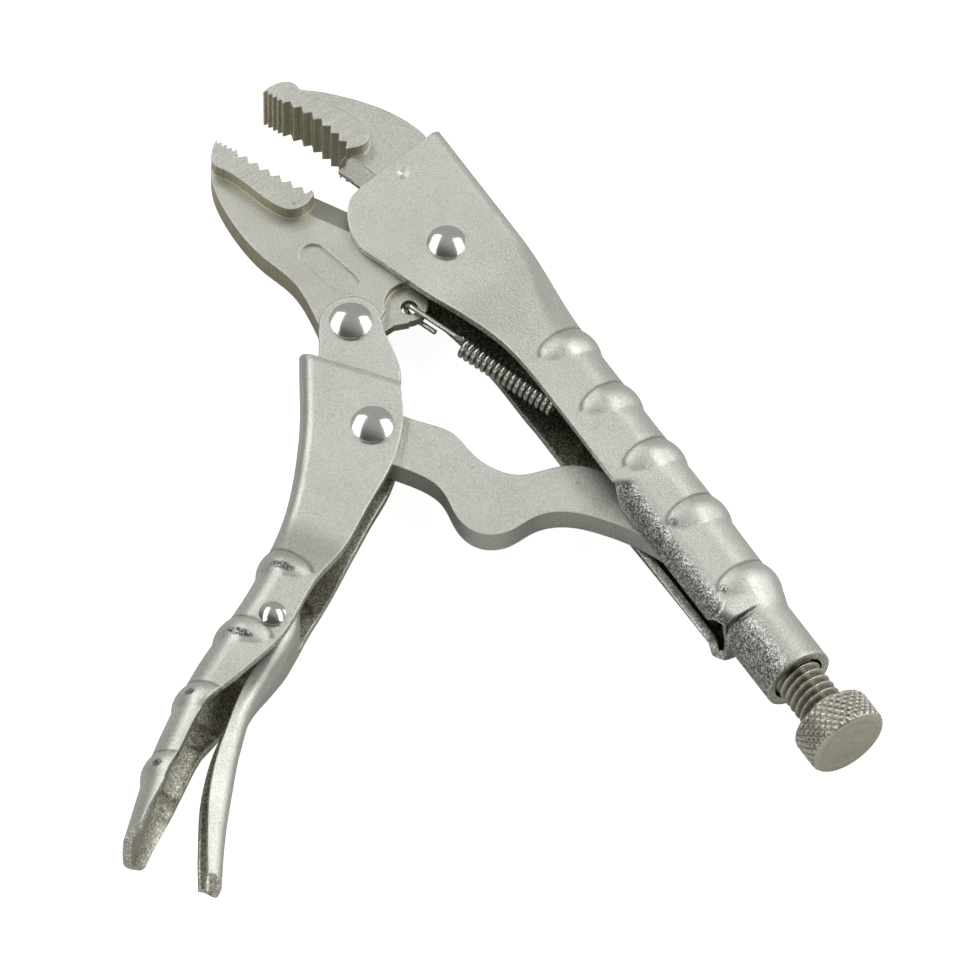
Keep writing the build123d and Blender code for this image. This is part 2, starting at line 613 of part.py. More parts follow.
with BuildPart() as return_spring:
    with BuildLine() as wire_path:
        first = spring_point(HOOK_SHIFT + HOOK_TAIL, 0, -HOOK_REACH)
        low = spring_point(HOOK_SHIFT, 0, -HOOK_REACH)
        turn_back = spring_point(HOOK_SHIFT - HOOK_REACH, 0, 0)
        high = spring_point(HOOK_SHIFT, 0, HOOK_REACH)
        leg = spring_point(COIL_START - 2.2, 0, HOOK_REACH)
        Line(first, low)
        ThreePointArc(low, turn_back, high)
        Line(high, leg)
        stops = arc_pair(leg, pull, coil_point(0), coil_way(0))
        ThreePointArc(leg, stops[0], stops[1])
        ThreePointArc(stops[1], stops[2], stops[3])
        for half_turn in range(2 * COIL_TURNS):
            begin = half_turn / 2
            finish = begin + 0.5
            stops = arc_pair(coil_point(begin), coil_way(begin), coil_point(finish), coil_way(finish))
            ThreePointArc(coil_point(begin), stops[0], stops[1])
            ThreePointArc(stops[1], stops[2], stops[3])
        far_leg = spring_point(COIL_START + coil_length + 2.2, 0, HOOK_REACH)
        stops = arc_pair(coil_point(COIL_TURNS), coil_way(COIL_TURNS), far_leg, pull)
        ThreePointArc(coil_point(COIL_TURNS), stops[0], stops[1])
        ThreePointArc(stops[1], stops[2], far_leg)
        far_high = spring_point(span - HOOK_SHIFT, 0, HOOK_REACH)
        far_turn = spring_point(span - HOOK_SHIFT + HOOK_REACH, 0, 0)
        far_low = spring_point(span - HOOK_SHIFT, 0, -HOOK_REACH)
        Line(far_leg, far_high)
        ThreePointArc(far_high, far_turn, far_low)
        Line(far_low, spring_point(span - HOOK_SHIFT - HOOK_TAIL, 0, -HOOK_REACH))
    with BuildSketch(Plane(origin=first, z_dir=pull * -1)):
        Circle(SPRING_WIRE / 2)
    sweep(path=wire_path.wires()[0])

# Least gap between neighbouring stretches of the spring wire
wire_line = wire_path.wires()[0]
samples = [wire_line @ (step / 1500) for step in range(1501)]
spacing = wire_line.length / 1500
apart = int(2.0 * pi * COIL_RADIUS / 3 / spacing)
least = min(
    (samples[i] - samples[j]).length
    for i in range(0, 1501, 3)
    for j in range(i + apart, 1501, 3)
)
print("least gap of the spring wire to itself:", round(least - SPRING_WIRE, 3), "mm")

pieces = {
    "upper_handle": upper_handle.part,
    "fixed_jaw": fixed_jaw.part,
    "movable_jaw": movable_jaw.part,
    "lower_handle": lower_handle.part,
    "toggle_link": toggle_link.part,
    "release_lever": release_lever.part,
    "adjusting_screw": adjusting_screw.part,
    "screw_knob": screw_knob.part,
    "return_spring": return_spring.part,
    "jaw_pivot_rivet": jaw_pivot_rivet,
    "handle_pivot_rivet": handle_pivot_rivet,
    "link_pivot_rivet": link_pivot_rivet,
    "lever_pivot_rivet": lever_pivot_rivet,
}
box = Compound(children=[piece.moved(Location()) for piece in pieces.values()]).bounding_box()
set_down = Location((-box.center().X, -box.center().Y, -box.min.Z))

os.makedirs("parts", exist_ok=True)
for name, piece in pieces.items():
    placed = piece.moved(set_down)
    placed.label = name
    export_step(placed, f"parts/{name}.step")
print("jaw pivot at", set_down.position, "overall", box.size)
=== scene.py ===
"""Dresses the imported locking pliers: pressed handles, screw, knurled knob, wound spring and finishes."""

import json
import math

import bpy
import numpy as np
from mathutils import Matrix, Vector


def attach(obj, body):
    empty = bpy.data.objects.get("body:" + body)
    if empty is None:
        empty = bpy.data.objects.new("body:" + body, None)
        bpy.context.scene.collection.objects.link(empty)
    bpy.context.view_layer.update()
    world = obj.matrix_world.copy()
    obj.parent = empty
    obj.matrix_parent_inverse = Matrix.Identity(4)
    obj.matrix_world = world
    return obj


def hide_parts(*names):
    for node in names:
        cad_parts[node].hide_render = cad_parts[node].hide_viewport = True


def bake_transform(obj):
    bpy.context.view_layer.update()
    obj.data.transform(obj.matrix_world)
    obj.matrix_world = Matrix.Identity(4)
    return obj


bl_info = {
    "name": "Locking Pliers",
    "version": (1, 0, 0),
    "blender": (4, 5, 0),
    "location": "View3D > Sidebar > Pliers",
    "description": "Builds the visible pieces, finishes and stage of a pair of locking pliers",
    "category": "Object",
}

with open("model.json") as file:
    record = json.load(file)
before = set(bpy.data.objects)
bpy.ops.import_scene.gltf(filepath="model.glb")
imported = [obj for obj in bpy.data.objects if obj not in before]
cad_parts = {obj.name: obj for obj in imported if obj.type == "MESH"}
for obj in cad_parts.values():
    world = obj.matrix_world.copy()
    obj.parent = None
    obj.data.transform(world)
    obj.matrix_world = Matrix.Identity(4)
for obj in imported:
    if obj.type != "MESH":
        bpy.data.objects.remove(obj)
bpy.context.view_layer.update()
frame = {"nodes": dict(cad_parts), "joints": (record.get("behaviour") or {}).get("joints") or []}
NODES = frame["nodes"]
JOINTS = {joint["name"]: joint for joint in frame["joints"]}

# Places and sizes in millimetres from the jaw pivot, at mid thickness
MM = 0.001
TO_MM = 1000
JAW_PIVOT = np.array(JOINTS["jaw_close"]["pos_m"])
SCREW_Y = 3.5

# Upper handle; a pair is where a change along X starts and ends
UPPER_START = -22.0
TUBE_START = 98.2
TUBE_END = 111.1
TUBE_RADIUS = 6.6
SHOULDER = 96.8
NECK = (94.2, 98.6)
TUBE_EASE = (SHOULDER - 1.8, TUBE_START + 0.6)
UPPER_STATIONS = ((UPPER_START, 27.0, 80), (27.3, 96.0, 230), (96.1, 99.5, 40), (100.0, TUBE_END, 16))
FRONT_SPINE = 12.9
SPINE_DROP = 2.4
SPINE_RISE = 0.6
FRONT_HALF = 4.25
GRIP_HALF = 9.4
TAIL_TAPER = 2.0
FLARE = (5, 34)
FRONT_BEND = 2.8
BEND_GROWTH = 4.2
CURL_START = 62.0
CURL_END = 97.5
CURL_RADIUS = 4.4
CURL_SLOT = 6.8
CLOSED_SLOT = 0.02
OPEN_CURL = (93.4, 95.4)
WALL_EDGE = -4.2
CURL_DROP = 0.4
UPPER_EDGE = [
    (-18.8, -6.5), (-17.7, -9.4), (-15.2, -11.7), (-12.2, -13.1), (-8.5, -13.6), (-2.5, -11.9), (3.9, -9.9),
    (14.3, -6.7), (24.0, -4.9), (36.0, -4.2),
]
UPPER_EDGE_END = 36.0
UPPER_RIDGES = np.array((32.9, 46.8, 60.9, 75.1, 91.7))
UPPER_BAR_REACH = 0.9
BAR_END = 5.6
PUNCH_MARK = (-17.1, 1.6)
PUNCH_DEPTH = 0.45
PUNCH_RADIUS = 0.75
SEAM_X = 97.6
SEAM_HALF_WIDTH = 0.22
SEAM_DEPTH = 0.3

# Lower handle; a pair is where a change starts and ends, as shares of its length
LOWER_SPINE = [
    (5.0, -35.2), (20.0, -45.0), (32.4, -56.0), (41.2, -67.6), (52.8, -88.8), (64.3, -105.4), (76.5, -119.1),
]
LOWER_RIM = [
    (20.6, -23.4), (27.5, -27.2), (35.1, -34.9), (39.6, -42.2), (45.9, -52.4), (50.5, -61.6), (56.6, -72.0),
    (59.2, -81.6), (61.9, -92.1), (67.9, -101.6), (78.5, -117.4),
]
LOWER_STATIONS = ((0, 0.015, 8), (0.02, 1, 330))
LOWER_RIDGES = np.array((0.42, 0.565, 0.715, 0.86))
LOWER_BAR_REACH = 4.4
LOWER_HALF = 4.3
FORK_STEP = 0.25
FORK_EASE = (0, 0.012)
GRIP_GROWTH = 3.35
GRIP_EASE = (0.31, 0.44)
TAIL_GROWTH = 1.0
TAIL_EASE = (0.56, 0.74)
LOWER_BEND = 2.8
LOWER_BEND_GROWTH = 2.7
FORK_OUTLINE = [
    (8.6, -19.4), (5.4, -18.3), (2.6, -18.7), (0.4, -20.5), (-0.6, -23.2), (-0.3, -25.8), (0.6, -27.6),
    (2.9, -29.6), (6.4, -31.8), (9.5, -34.0), (24.0, -30.0), (21.5, -24.2),
]
CHEEK_INNER = 2.65
CHEEK_OUTER = 4.25

# Release lever
LEVER_SPINE = [
    (51.0, -64.8), (54.7, -67.2), (58.1, -71.4), (61.3, -77.3), (64.3, -83.6), (69.9, -90.0), (76.5, -96.0),
    (84.1, -102.4), (92.9, -108.9),
]
LEVER_RIM = [
    (48.4, -69.5), (49.5, -74.3), (53.2, -75.4), (56.0, -76.2), (59.0, -81.6), (63.4, -88.4), (67.9, -94.0),
    (74.6, -100.4), (82.6, -106.0), (91.2, -111.6),
]
LEVER_HEAD_HALF = 5.5
LEVER_TAPER = 2.0
LEVER_BEND = 2.3
LEVER_ROLL_AXIS = 1.5

# Screw and spring
SCREW_TIP = 94.7
KNOB_START = 121.0
KNOB_RIM = 1.0
KNOB_DISH = 0.22
TAB_HOLE = np.array((6.2, -12.2, 0.0))
ANCHOR = np.array((45.2, 1.2, 0.0))
COIL_RADIUS = 1.75
COIL_TURNS = 17
COIL_PITCH = 1.26
COIL_START = 12.2
HOOK_REACH = 1.62
HOOK_SHIFT = 0.9
TAB_TAIL = 5.2
ANCHOR_TAIL = 2.6

# Angles in degrees past which an edge stays sharp
SHEET_SHARP = 28
PLATE_SHARP = 35
TURNED_SHARP = 60


def smooth(value, start, end):
    """Share from 0 to 1 that rises gently between start and end: 3 t squared less 2 t cubed."""
    share = np.clip((value - start) / (end - start), 0, 1)
    return share * share * (3 - 2 * share)


def lengths_along(line):
    """Distance of each point along a line from its start."""
    return np.concatenate(([0], np.cumsum(np.linalg.norm(np.diff(line, axis=0), axis=1))))


def curve_through(points, shares):
    """Points at shares of a smooth line: cubic stretches whose end slopes come from neighbouring points."""
    points = np.asarray(points, float)
    gaps = np.linalg.norm(np.diff(points, axis=0), axis=1)
    knots = lengths_along(points)
    slopes = np.gradient(points, knots, axis=0)
    at = np.asarray(shares) * knots[-1]
    index = np.clip(np.searchsorted(knots, at, side="right") - 1, 0, len(gaps) - 1)
    gap = gaps[index][:, None]
    t = ((at - knots[index]) / gaps[index])[:, None]
    start = (1 + 2 * t) * (1 - t) ** 2 * points[index] + t * (1 - t) ** 2 * gap * slopes[index]
    end = t * t * (3 - 2 * t) * points[index + 1] + t * t * (t - 1) * gap * slopes[index + 1]
    return start + end


def unit_ways(line):
    """Direction of a line at each of its points, one unit long."""
    way = np.gradient(line, axis=0)
    return way / np.linalg.norm(way, axis=1)[:, None]


def put_mesh(name, points, faces, body, slot, sharp, **layers):
    """Object from points in millimetres from the jaw pivot and an array of faces, riding on a body; each
    further layer is a value for every point that the finish reads, such as painted shade or strained metal."""
    mesh = bpy.data.meshes.new(name)
    flat = np.ascontiguousarray(np.asarray(points).reshape(-1, 3) * MM + JAW_PIVOT, np.float32)
    faces = np.asarray(faces, np.int32)
    mesh.vertices.add(len(flat))
    mesh.vertices.foreach_set("co", flat.ravel())
    mesh.loops.add(faces.size)
    mesh.loops.foreach_set("vertex_index", faces.ravel())
    mesh.polygons.add(len(faces))
    mesh.polygons.foreach_set("loop_start", np.arange(0, faces.size, faces.shape[1], dtype=np.int32))
    mesh.update(calc_edges=True)
    mesh.validate()
    mesh.polygons.foreach_set("use_smooth", np.ones(len(mesh.polygons), bool))
    mesh.set_sharp_from_angle(angle=math.radians(sharp))
    for title, values in layers.items():
        layer = mesh.attributes.new(title, "FLOAT", "POINT")
        layer.data.foreach_set("value", np.ascontiguousarray(values, np.float32).ravel())
    thing = bpy.data.objects.new(name, mesh)
    bpy.context.scene.collection.objects.link(thing)
    if body:
        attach(thing, body)
    return thing


def grid_faces(rows, columns, wrap_columns=False, flip=False):
    """Quads of a grid of points that is stored row by row, closed round its columns if asked."""
    index = np.arange(rows * columns).reshape(rows, columns)
    if wrap_columns:
        index = np.concatenate((index, index[:, :1]), axis=1)
    quads = np.stack((index[:-1, :-1], index[:-1, 1:], index[1:, 1:], index[1:, :-1]), axis=-1)
    quads = quads.reshape(-1, 4)
    return quads[:, ::-1] if flip else quads


def channel(spine, edge, half, bend, curl, curl_radius, lip, across, ridge):
    """Outer skin of a folded channel: from the middle of the spine out to the bend, a quarter turn, the
    straight wall and an inward curl with a straight lip at its free edge. Each row lies in the plane of Z
    and the line from spine to edge; across runs from -1 at one free edge to 1 at the other, and ridge gives
    the swell outwards from the distance along the skin, a little less on the walls. Gives the points, that
    distance and the angle that the curl has turned."""
    way = edge - spine
    deep = np.linalg.norm(way, axis=1)[:, None]
    way = way / deep
    half, bend, curl, curl_radius, lip = (value[:, None] for value in (half, bend, curl, curl_radius, lip))
    bend_turn = np.arccos(np.clip(1 - deep / bend, 0, 1))
    flat = half - bend
    wall = np.clip(deep - bend - curl_radius * np.sin(curl), 0, None)
    lengths = flat + bend * bend_turn + wall + curl_radius * curl + lip
    reach = np.abs(across)[None, :] * lengths
    on_flat = np.minimum(reach, flat)
    on_bend = np.clip((reach - flat) / bend, 0, bend_turn)
    on_wall = np.clip(reach - flat - bend * bend_turn, 0, wall)
    on_curl = np.clip((reach - flat - bend * bend_turn - wall) / curl_radius, 0, curl)
    on_lip = np.clip(reach - lengths + lip, 0, lip)
    down = bend * (1 - np.cos(on_bend)) + on_wall + curl_radius * np.sin(on_curl) + on_lip * np.cos(curl)
    out = on_flat + bend * np.sin(on_bend) - curl_radius * (1 - np.cos(on_curl)) - on_lip * np.sin(curl)
    turn = on_bend + on_curl
    swell = ridge(reach) * (1 - 0.24 * np.sin(turn))
    down = down - np.cos(turn) * swell
    out = (out + np.sin(turn) * swell) * np.sign(across)[None, :]
    flat_place = spine[:, None, :] + way[:, None, :] * down[:, :, None]
    return np.concatenate((flat_place, out[:, :, None]), axis=2), reach, on_curl


def bar_distance(along, places, length, reach, reach_end):
    """Distance from the nearest grip bar, 1 at its crease: a bar runs across the spine, and its ends are
    half ellipses."""
    half = length / 2
    beyond = np.clip(reach - (reach_end - BAR_END)[:, None], 0, None) / BAR_END
    return np.min(np.hypot(((along[:, None] - places) / half)[:, None, :], beyond[:, :, None]), axis=2)


def bar_swell(off, height):
    """Rise of the bars: a parabola of the distance from full height on the bar to none at its crease."""
    return height * np.clip(1 - off * off, 0, None)


def bar_crease_shade(along, places, off):
    """Painted shade in the crease on the jaw side of each bar: a narrow bell about the distance 1."""
    nearest = places[np.argmin(np.abs(along[:, None] - places), axis=1)]
    return 0.6 * np.exp(-((off - 1.03) / 0.09) ** 2) * (along < nearest)[:, None]


def spots(along, places, reach, at, wide, deep):
    """Ellipses on the skin, one for each place along it, centred at a distance from the spine: 1 inside and
    0 outside."""
    lengthwise = ((along[:, None] - places) / wide)[:, None, :] ** 2
    crosswise = ((reach - at) / deep)[:, :, None] ** 2
    return np.max(smooth(1 - (lengthwise + crosswise), 0, 0.5), axis=2)


def open_seam(points):
    """Open seam beside the shoulder of the tube: a narrow bell along X on the lower part of the near wall."""
    near = smooth(points[:, :, 2], 3.2, 4.2) * (1 - smooth(points[:, :, 1], 2.4, 3.4))
    return np.exp(-((points[:, :, 0] - SEAM_X) / SEAM_HALF_WIDTH) ** 2) * near


def round_tail(points, line, long, depth, half, run):
    """Pulls the free end of a channel back towards its walls as an ellipse of the given depth and half
    width, over a run of its length."""
    back = depth * (1 - np.sqrt(np.clip(1 - (points[:, :, 2] / half) ** 2, 0, 1)))
    pull = back * smooth(long, long[-1] - run, long[-1])[:, None]
    points[:, :, :2] -= unit_ways(line)[:, None, :] * pull[:, :, None]


def round_edges(thing, width):
    """Rounds the sharp edges of a piece."""
    bevel = thing.modifiers.new("edge", "BEVEL")
    bevel.width = width
    bevel.segments = 2
    bevel.limit_method = "ANGLE"
    bevel.angle_limit = math.radians(50)


def sheet_finish(thing, thickness, edge):
    """Gives a skin its sheet thickness inwards and rounds the cut edges."""
    solid = thing.modifiers.new("sheet", "SOLIDIFY")
    solid.thickness = thickness
    solid.offset = -1
    solid.material_offset = 1
    solid.material_offset_rim = 2
    round_edges(thing, edge)
    return thing


def make_upper_handle(sizes):
    """Channel along X: spine height, width and bend ease from jaw to grip, and the walls curl in and close
    to a tube. The curl stands half open just before the tube, and a punch mark and a seam are pressed in."""
    x = np.concatenate([np.linspace(*stretch) for stretch in UPPER_STATIONS])
    tube = smooth(x, *TUBE_EASE)
    neck = smooth(x, *NECK)
    flare = smooth(x, *FLARE)
    spine = FRONT_SPINE - SPINE_DROP * smooth(x, 5, 31) + SPINE_RISE * smooth(x, 50, 75)
    spine = spine + (SCREW_Y + TUBE_RADIUS - spine) * neck
    half = FRONT_HALF + (GRIP_HALF - FRONT_HALF) * flare - TAIL_TAPER * smooth(x, 45, SHOULDER)
    half = half + (TUBE_RADIUS - half) * neck
    bend = FRONT_BEND + BEND_GROWTH * flare
    bend = np.minimum(bend + (TUBE_RADIUS - bend) * tube, half - 1e-3)
    radius = CURL_RADIUS + (TUBE_RADIUS - CURL_RADIUS) * tube
    open_end = smooth(x, *OPEN_CURL) * (x < CURL_END)
    slot = np.where(x > CURL_END, CLOSED_SLOT, CURL_SLOT / 2)
    curl = np.arccos(np.clip(1 - (half - slot) / radius, 0, 1))
    curl = curl * smooth(x, CURL_START - 0.8, CURL_START + 3.6)
    curl = np.maximum(curl * (1 - 0.5 * open_end), 0)
    lip = np.clip(half - slot - radius, 0, None)
    lip = lip * smooth(x, CURL_START - 0.4, CURL_START + 4) * (1 - open_end)
    low = WALL_EDGE - CURL_DROP * smooth(x, CURL_START, CURL_START + 3)
    low = low + (SCREW_Y - TUBE_RADIUS - low) * tube
    front = curve_through(UPPER_EDGE, np.clip((x - UPPER_START) / (UPPER_EDGE_END - UPPER_START), 0, 1))
    edge = np.where((x < UPPER_EDGE_END)[:, None], front, np.stack((x, low), axis=1))
    line = np.stack((x, spine), axis=1)
    reach_end = (half - bend) + bend * math.pi / 2 + (spine - bend + UPPER_BAR_REACH)
    across = np.linspace(-1, 1, 125)
    width = sizes.ridge_length * TO_MM
    height = sizes.ridge_height * TO_MM

    def from_bar(reach):
        return bar_distance(x, UPPER_RIDGES, width, reach, reach_end)

    points, reach, turned = channel(
        line, edge, half, bend, curl, radius, lip, across, lambda reach: bar_swell(from_bar(reach), height)
    )
    punch = np.hypot(points[:, :, 0] - PUNCH_MARK[0], points[:, :, 1] - PUNCH_MARK[1])
    dent = np.where(points[:, :, 2] > 0, PUNCH_DEPTH * np.exp(-(punch / PUNCH_RADIUS) ** 2), 0)
    seam = open_seam(points)
    points[:, :, 2] -= dent + SEAM_DEPTH * seam
    on_tube = 0.6 * smooth(x, 93.6, 97.0)[:, None] * smooth(turned, 0.02, 0.3)
    tips = spots(x, UPPER_RIDGES[3:], reach, reach_end[:, None] - 0.9, 1.1, 0.8)
    strain = np.maximum(np.maximum(smooth(turned, 0.12, 0.5), on_tube), tips)
    # Painted shade in the open seam and along the bar creases.
    marks = np.maximum(seam, bar_crease_shade(x, UPPER_RIDGES, from_bar(reach)))
    faces = grid_faces(len(x), len(across))
    thing = put_mesh(
        "upper_handle_skin", points, faces, "upper_body", "plated_sheet", SHEET_SHARP,
        marks=marks, strain=strain,
    )
    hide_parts("upper_handle")
    return sheet_finish(thing, sizes.sheet, sizes.edge_round)


def make_lower_handle(sizes):
    """Channel along a bent spine: narrow at the jaw, wide in the grip and wider at the tail, whose end is an
    ellipse."""
    share = np.concatenate([np.linspace(*stretch) for stretch in LOWER_STATIONS])
    line = curve_through(LOWER_SPINE, share)
    edge = curve_through(LOWER_RIM, share)
    grip = smooth(share, *GRIP_EASE)
    half = LOWER_HALF + FORK_STEP * smooth(share, *FORK_EASE) + GRIP_GROWTH * grip
    half = half + TAIL_GROWTH * smooth(share, *TAIL_EASE)
    bend = LOWER_BEND + LOWER_BEND_GROWTH * grip
    long = lengths_along(line)
    across = np.linspace(-1, 1, 101)
    zero = np.zeros_like(share)
    reach_end = (half - bend) + bend * math.pi / 2 + LOWER_BAR_REACH
    places = LOWER_RIDGES * long[-1]
    width = sizes.ridge_length * TO_MM
    height = sizes.ridge_height * TO_MM

    def from_bar(reach):
        return bar_distance(long, places, width, reach, reach_end)

    points, reach, _ = channel(
        line, edge, half, bend, zero, zero + 1, zero, across,
        lambda reach: bar_swell(from_bar(reach), height),
    )
    # Lens spots at the bar ends: strained metal that gets painted sparkle, and 0.45 of them goes into the
    # layer of painted shade for the dents.
    strain = spots(long, places[:2] + 1.0, reach, 10.2, 0.9, 2.8)
    strain = strain + spots(long, places[2:], reach, 9.0, 0.9, 1.0)
    marks = np.maximum(0.45 * strain, bar_crease_shade(long, places, from_bar(reach)))
    round_tail(points, line, long, depth=5.0, half=9.1, run=13)
    faces = grid_faces(len(share), len(across), flip=True)
    thing = put_mesh(
        "lower_handle_skin", points, faces, "lower_body", "plated_sheet", SHEET_SHARP,
        strain=strain, marks=marks,
    )
    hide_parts("lower_handle")
    return sheet_finish(thing, sizes.sheet, sizes.edge_round)


def make_lever(sizes):
    """Small channel that opens towards the lower handle; past its head each section is rolled a little about
    the middle of its own width, and the end is an ellipse."""
    share = np.linspace(0, 1, 220)
    line = curve_through(LEVER_SPINE, share)
    edge = curve_through(LEVER_RIM, share)
    half = LEVER_HEAD_HALF - LEVER_TAPER * smooth(share, 0.12, 0.34)
    bend = np.full_like(share, LEVER_BEND)
    zero = np.zeros_like(share)
    across = np.linspace(-1, 1, 61)
    points = channel(line, edge, half, bend, zero, zero + 1, zero, across, np.zeros_like)[0]
    round_tail(points, line, lengths_along(line), depth=3.2, half=3.7, run=9)
    way = unit_ways(line)
    side = np.stack((-way[:, 1], way[:, 0]), axis=1)
    roll = sizes.lever_roll * smooth(share, 0.25, 0.5)[:, None]
    off = points[:, :, :2] - line[:, None, :]
    deep = np.sum(off * side[:, None, :], axis=2) + LEVER_ROLL_AXIS
    turned = deep * np.cos(roll) + points[:, :, 2] * np.sin(roll)
    points[:, :, :2] += side[:, None, :] * (turned - deep)[:, :, None]
    points[:, :, 2] = points[:, :, 2] * np.cos(roll) - deep * np.sin(roll)
    faces = grid_faces(len(share), len(across))
    thing = put_mesh("lever_skin", points, faces, "lever_body", "plated_sheet", SHEET_SHARP)
    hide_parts("release_lever")
    return sheet_finish(thing, sizes.lever_sheet, sizes.edge_round)


def make_fork(sizes):
    """Two cheeks that hold the jaw: an outline of smooth stretches, raised to the sheet's thickness on each
    side."""
    ring = curve_through(FORK_OUTLINE + FORK_OUTLINE[:1], np.linspace(0, 1, 121)[:-1])
    cheeks = []
    for side, name in ((1, "fork_cheek_top"), (-1, "fork_cheek_low")):
        inner = np.column_stack((ring, np.full(len(ring), side * CHEEK_INNER)))
        outer = np.column_stack((ring, np.full(len(ring), side * CHEEK_OUTER)))
        thing = plate(name, inner, outer, side, "lower_body", "plated_sheet", sizes.edge_round)
        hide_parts("lower_handle")
        cheeks.append(thing)
    return cheeks


def plate(name, low, high, side, body, slot, edge):
    """Flat plate between two equal outlines: side quads all round, a face over each and rounded edges."""
    count = len(low)
    points = np.concatenate((low, high)) * MM + JAW_PIVOT
    step = np.arange(count)
    after = np.roll(step, -1)
    walls = np.stack((step, after, after + count, step + count), axis=1)
    turn = np.sum(low[:, 0] * np.roll(low[:, 1], -1) - low[:, 1] * np.roll(low[:, 0], -1)) * side
    walls = walls if turn > 0 else walls[:, ::-1]
    top = step + count if turn > 0 else (step + count)[::-1]
    base = step[::-1] if turn > 0 else step
    mesh = bpy.data.meshes.new(name)
    mesh.from_pydata(points.tolist(), [], walls.tolist() + [top.tolist(), base.tolist()])
    mesh.polygons.foreach_set("use_smooth", np.ones(len(mesh.polygons), bool))
    mesh.set_sharp_from_angle(angle=math.radians(PLATE_SHARP))
    thing = bpy.data.objects.new(name, mesh)
    bpy.context.scene.collection.objects.link(thing)
    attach(thing, body)
    round_edges(thing, edge)
    return thing


def make_screw(sizes):
    """Shank whose radius follows a triangle wave of the place along X less the share of a turn: a right-hand
    helix."""
    pitch = sizes.thread_pitch * TO_MM
    crest = sizes.thread_diameter * TO_MM / 2
    x = np.linspace(SCREW_TIP, KNOB_START + 0.2, 400)
    angle = np.linspace(0, 2 * math.pi, 65)[:-1]
    phase = (x[:, None] / pitch - angle[None, :] / (2 * math.pi)) % 1.0
    wave = np.abs(2 * phase - 1)
    wave = np.clip(1.25 * wave - 0.12, 0, 1)
    radius = crest - sizes.thread_depth * TO_MM * wave
    radius = radius - (1.0 - smooth(x, SCREW_TIP, SCREW_TIP + 0.8))[:, None] * 0.9
    place = np.repeat(x[:, None], len(angle), axis=1)
    points = np.stack((place, SCREW_Y + radius * np.cos(angle), radius * np.sin(angle)), axis=2)
    start = np.repeat(np.array([[[SCREW_TIP, SCREW_Y, 0.0]]]), len(angle), axis=1)
    points = np.concatenate((start, points))
    faces = grid_faces(len(points), len(angle), wrap_columns=True)
    # Painted shade in the thread roots, 0.9 of the depth below the crest.
    root_shade = np.concatenate((wave[:1], wave)) * 0.9
    thing = put_mesh("screw_thread", points, faces, "screw_body", "screw_steel", TURNED_SHARP, marks=root_shade)
    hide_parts("adjusting_screw")
    return thing


def make_knob(sizes):
    """Turned knob: a profile from its inner face over both rounded rims to a shallow ring on its end face,
    with a knurl on the cylinder whose grooves lie where either of two crossed triangle waves is low."""
    big = sizes.knob_diameter * TO_MM / 2
    long = sizes.knob_length * TO_MM
    inner = big - KNOB_RIM
    turn = np.linspace(0, math.pi / 2, 9)
    body = np.linspace(KNOB_RIM, long - KNOB_RIM, 90)[1:-1]
    ring = np.linspace(inner - 0.15, 0.0, 26)
    dish = KNOB_DISH * smooth(ring, inner - 1.5, inner - 0.7) - KNOB_DISH
    station = np.concatenate((
        [0.0], KNOB_RIM - KNOB_RIM * np.cos(turn), body,
        long - KNOB_RIM + KNOB_RIM * np.sin(turn), long + dish,
    ))
    radius = np.concatenate((
        [0.0], inner + KNOB_RIM * np.sin(turn), np.full(len(body), big),
        inner + KNOB_RIM * np.cos(turn), ring,
    ))
    angle = np.linspace(0, 2 * math.pi, 481)[:-1]
    around = sizes.knurl_count * angle[None, :] / (2 * math.pi)
    along = station[:, None] / sizes.knurl_pitch / TO_MM
    first = np.abs(2 * ((around + along) % 1.0) - 1)
    second = np.abs(2 * ((around - along) % 1.0) - 1)
    weight = smooth(station, 0.2, 0.8) * (1 - smooth(station, long - 0.8, long - 0.2)) * (radius > inner)
    groove = np.clip(1 - np.minimum(first, second) / 0.6, 0, 1) * weight[:, None]
    size = radius[:, None] - sizes.knurl_depth * TO_MM * groove
    place = KNOB_START + np.repeat(station[:, None], len(angle), axis=1)
    points = np.stack((place, SCREW_Y + size * np.cos(angle), size * np.sin(angle)), axis=2)
    faces = grid_faces(len(station), len(angle), wrap_columns=True)
    # Painted shade in the knurl grooves, 0.55 of the groove depth.
    thing = put_mesh(
        "knob_knurled", points, faces, "knob_body", "screw_steel", TURNED_SHARP, marks=0.55 * groove
    )
    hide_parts("screw_knob")
    return thing


def stretch(start, end, height, count):
    """Straight piece of wire along the pull, at a height above the middle."""
    return np.column_stack((np.linspace(start, end, count), np.zeros(count), np.full(count, height)))


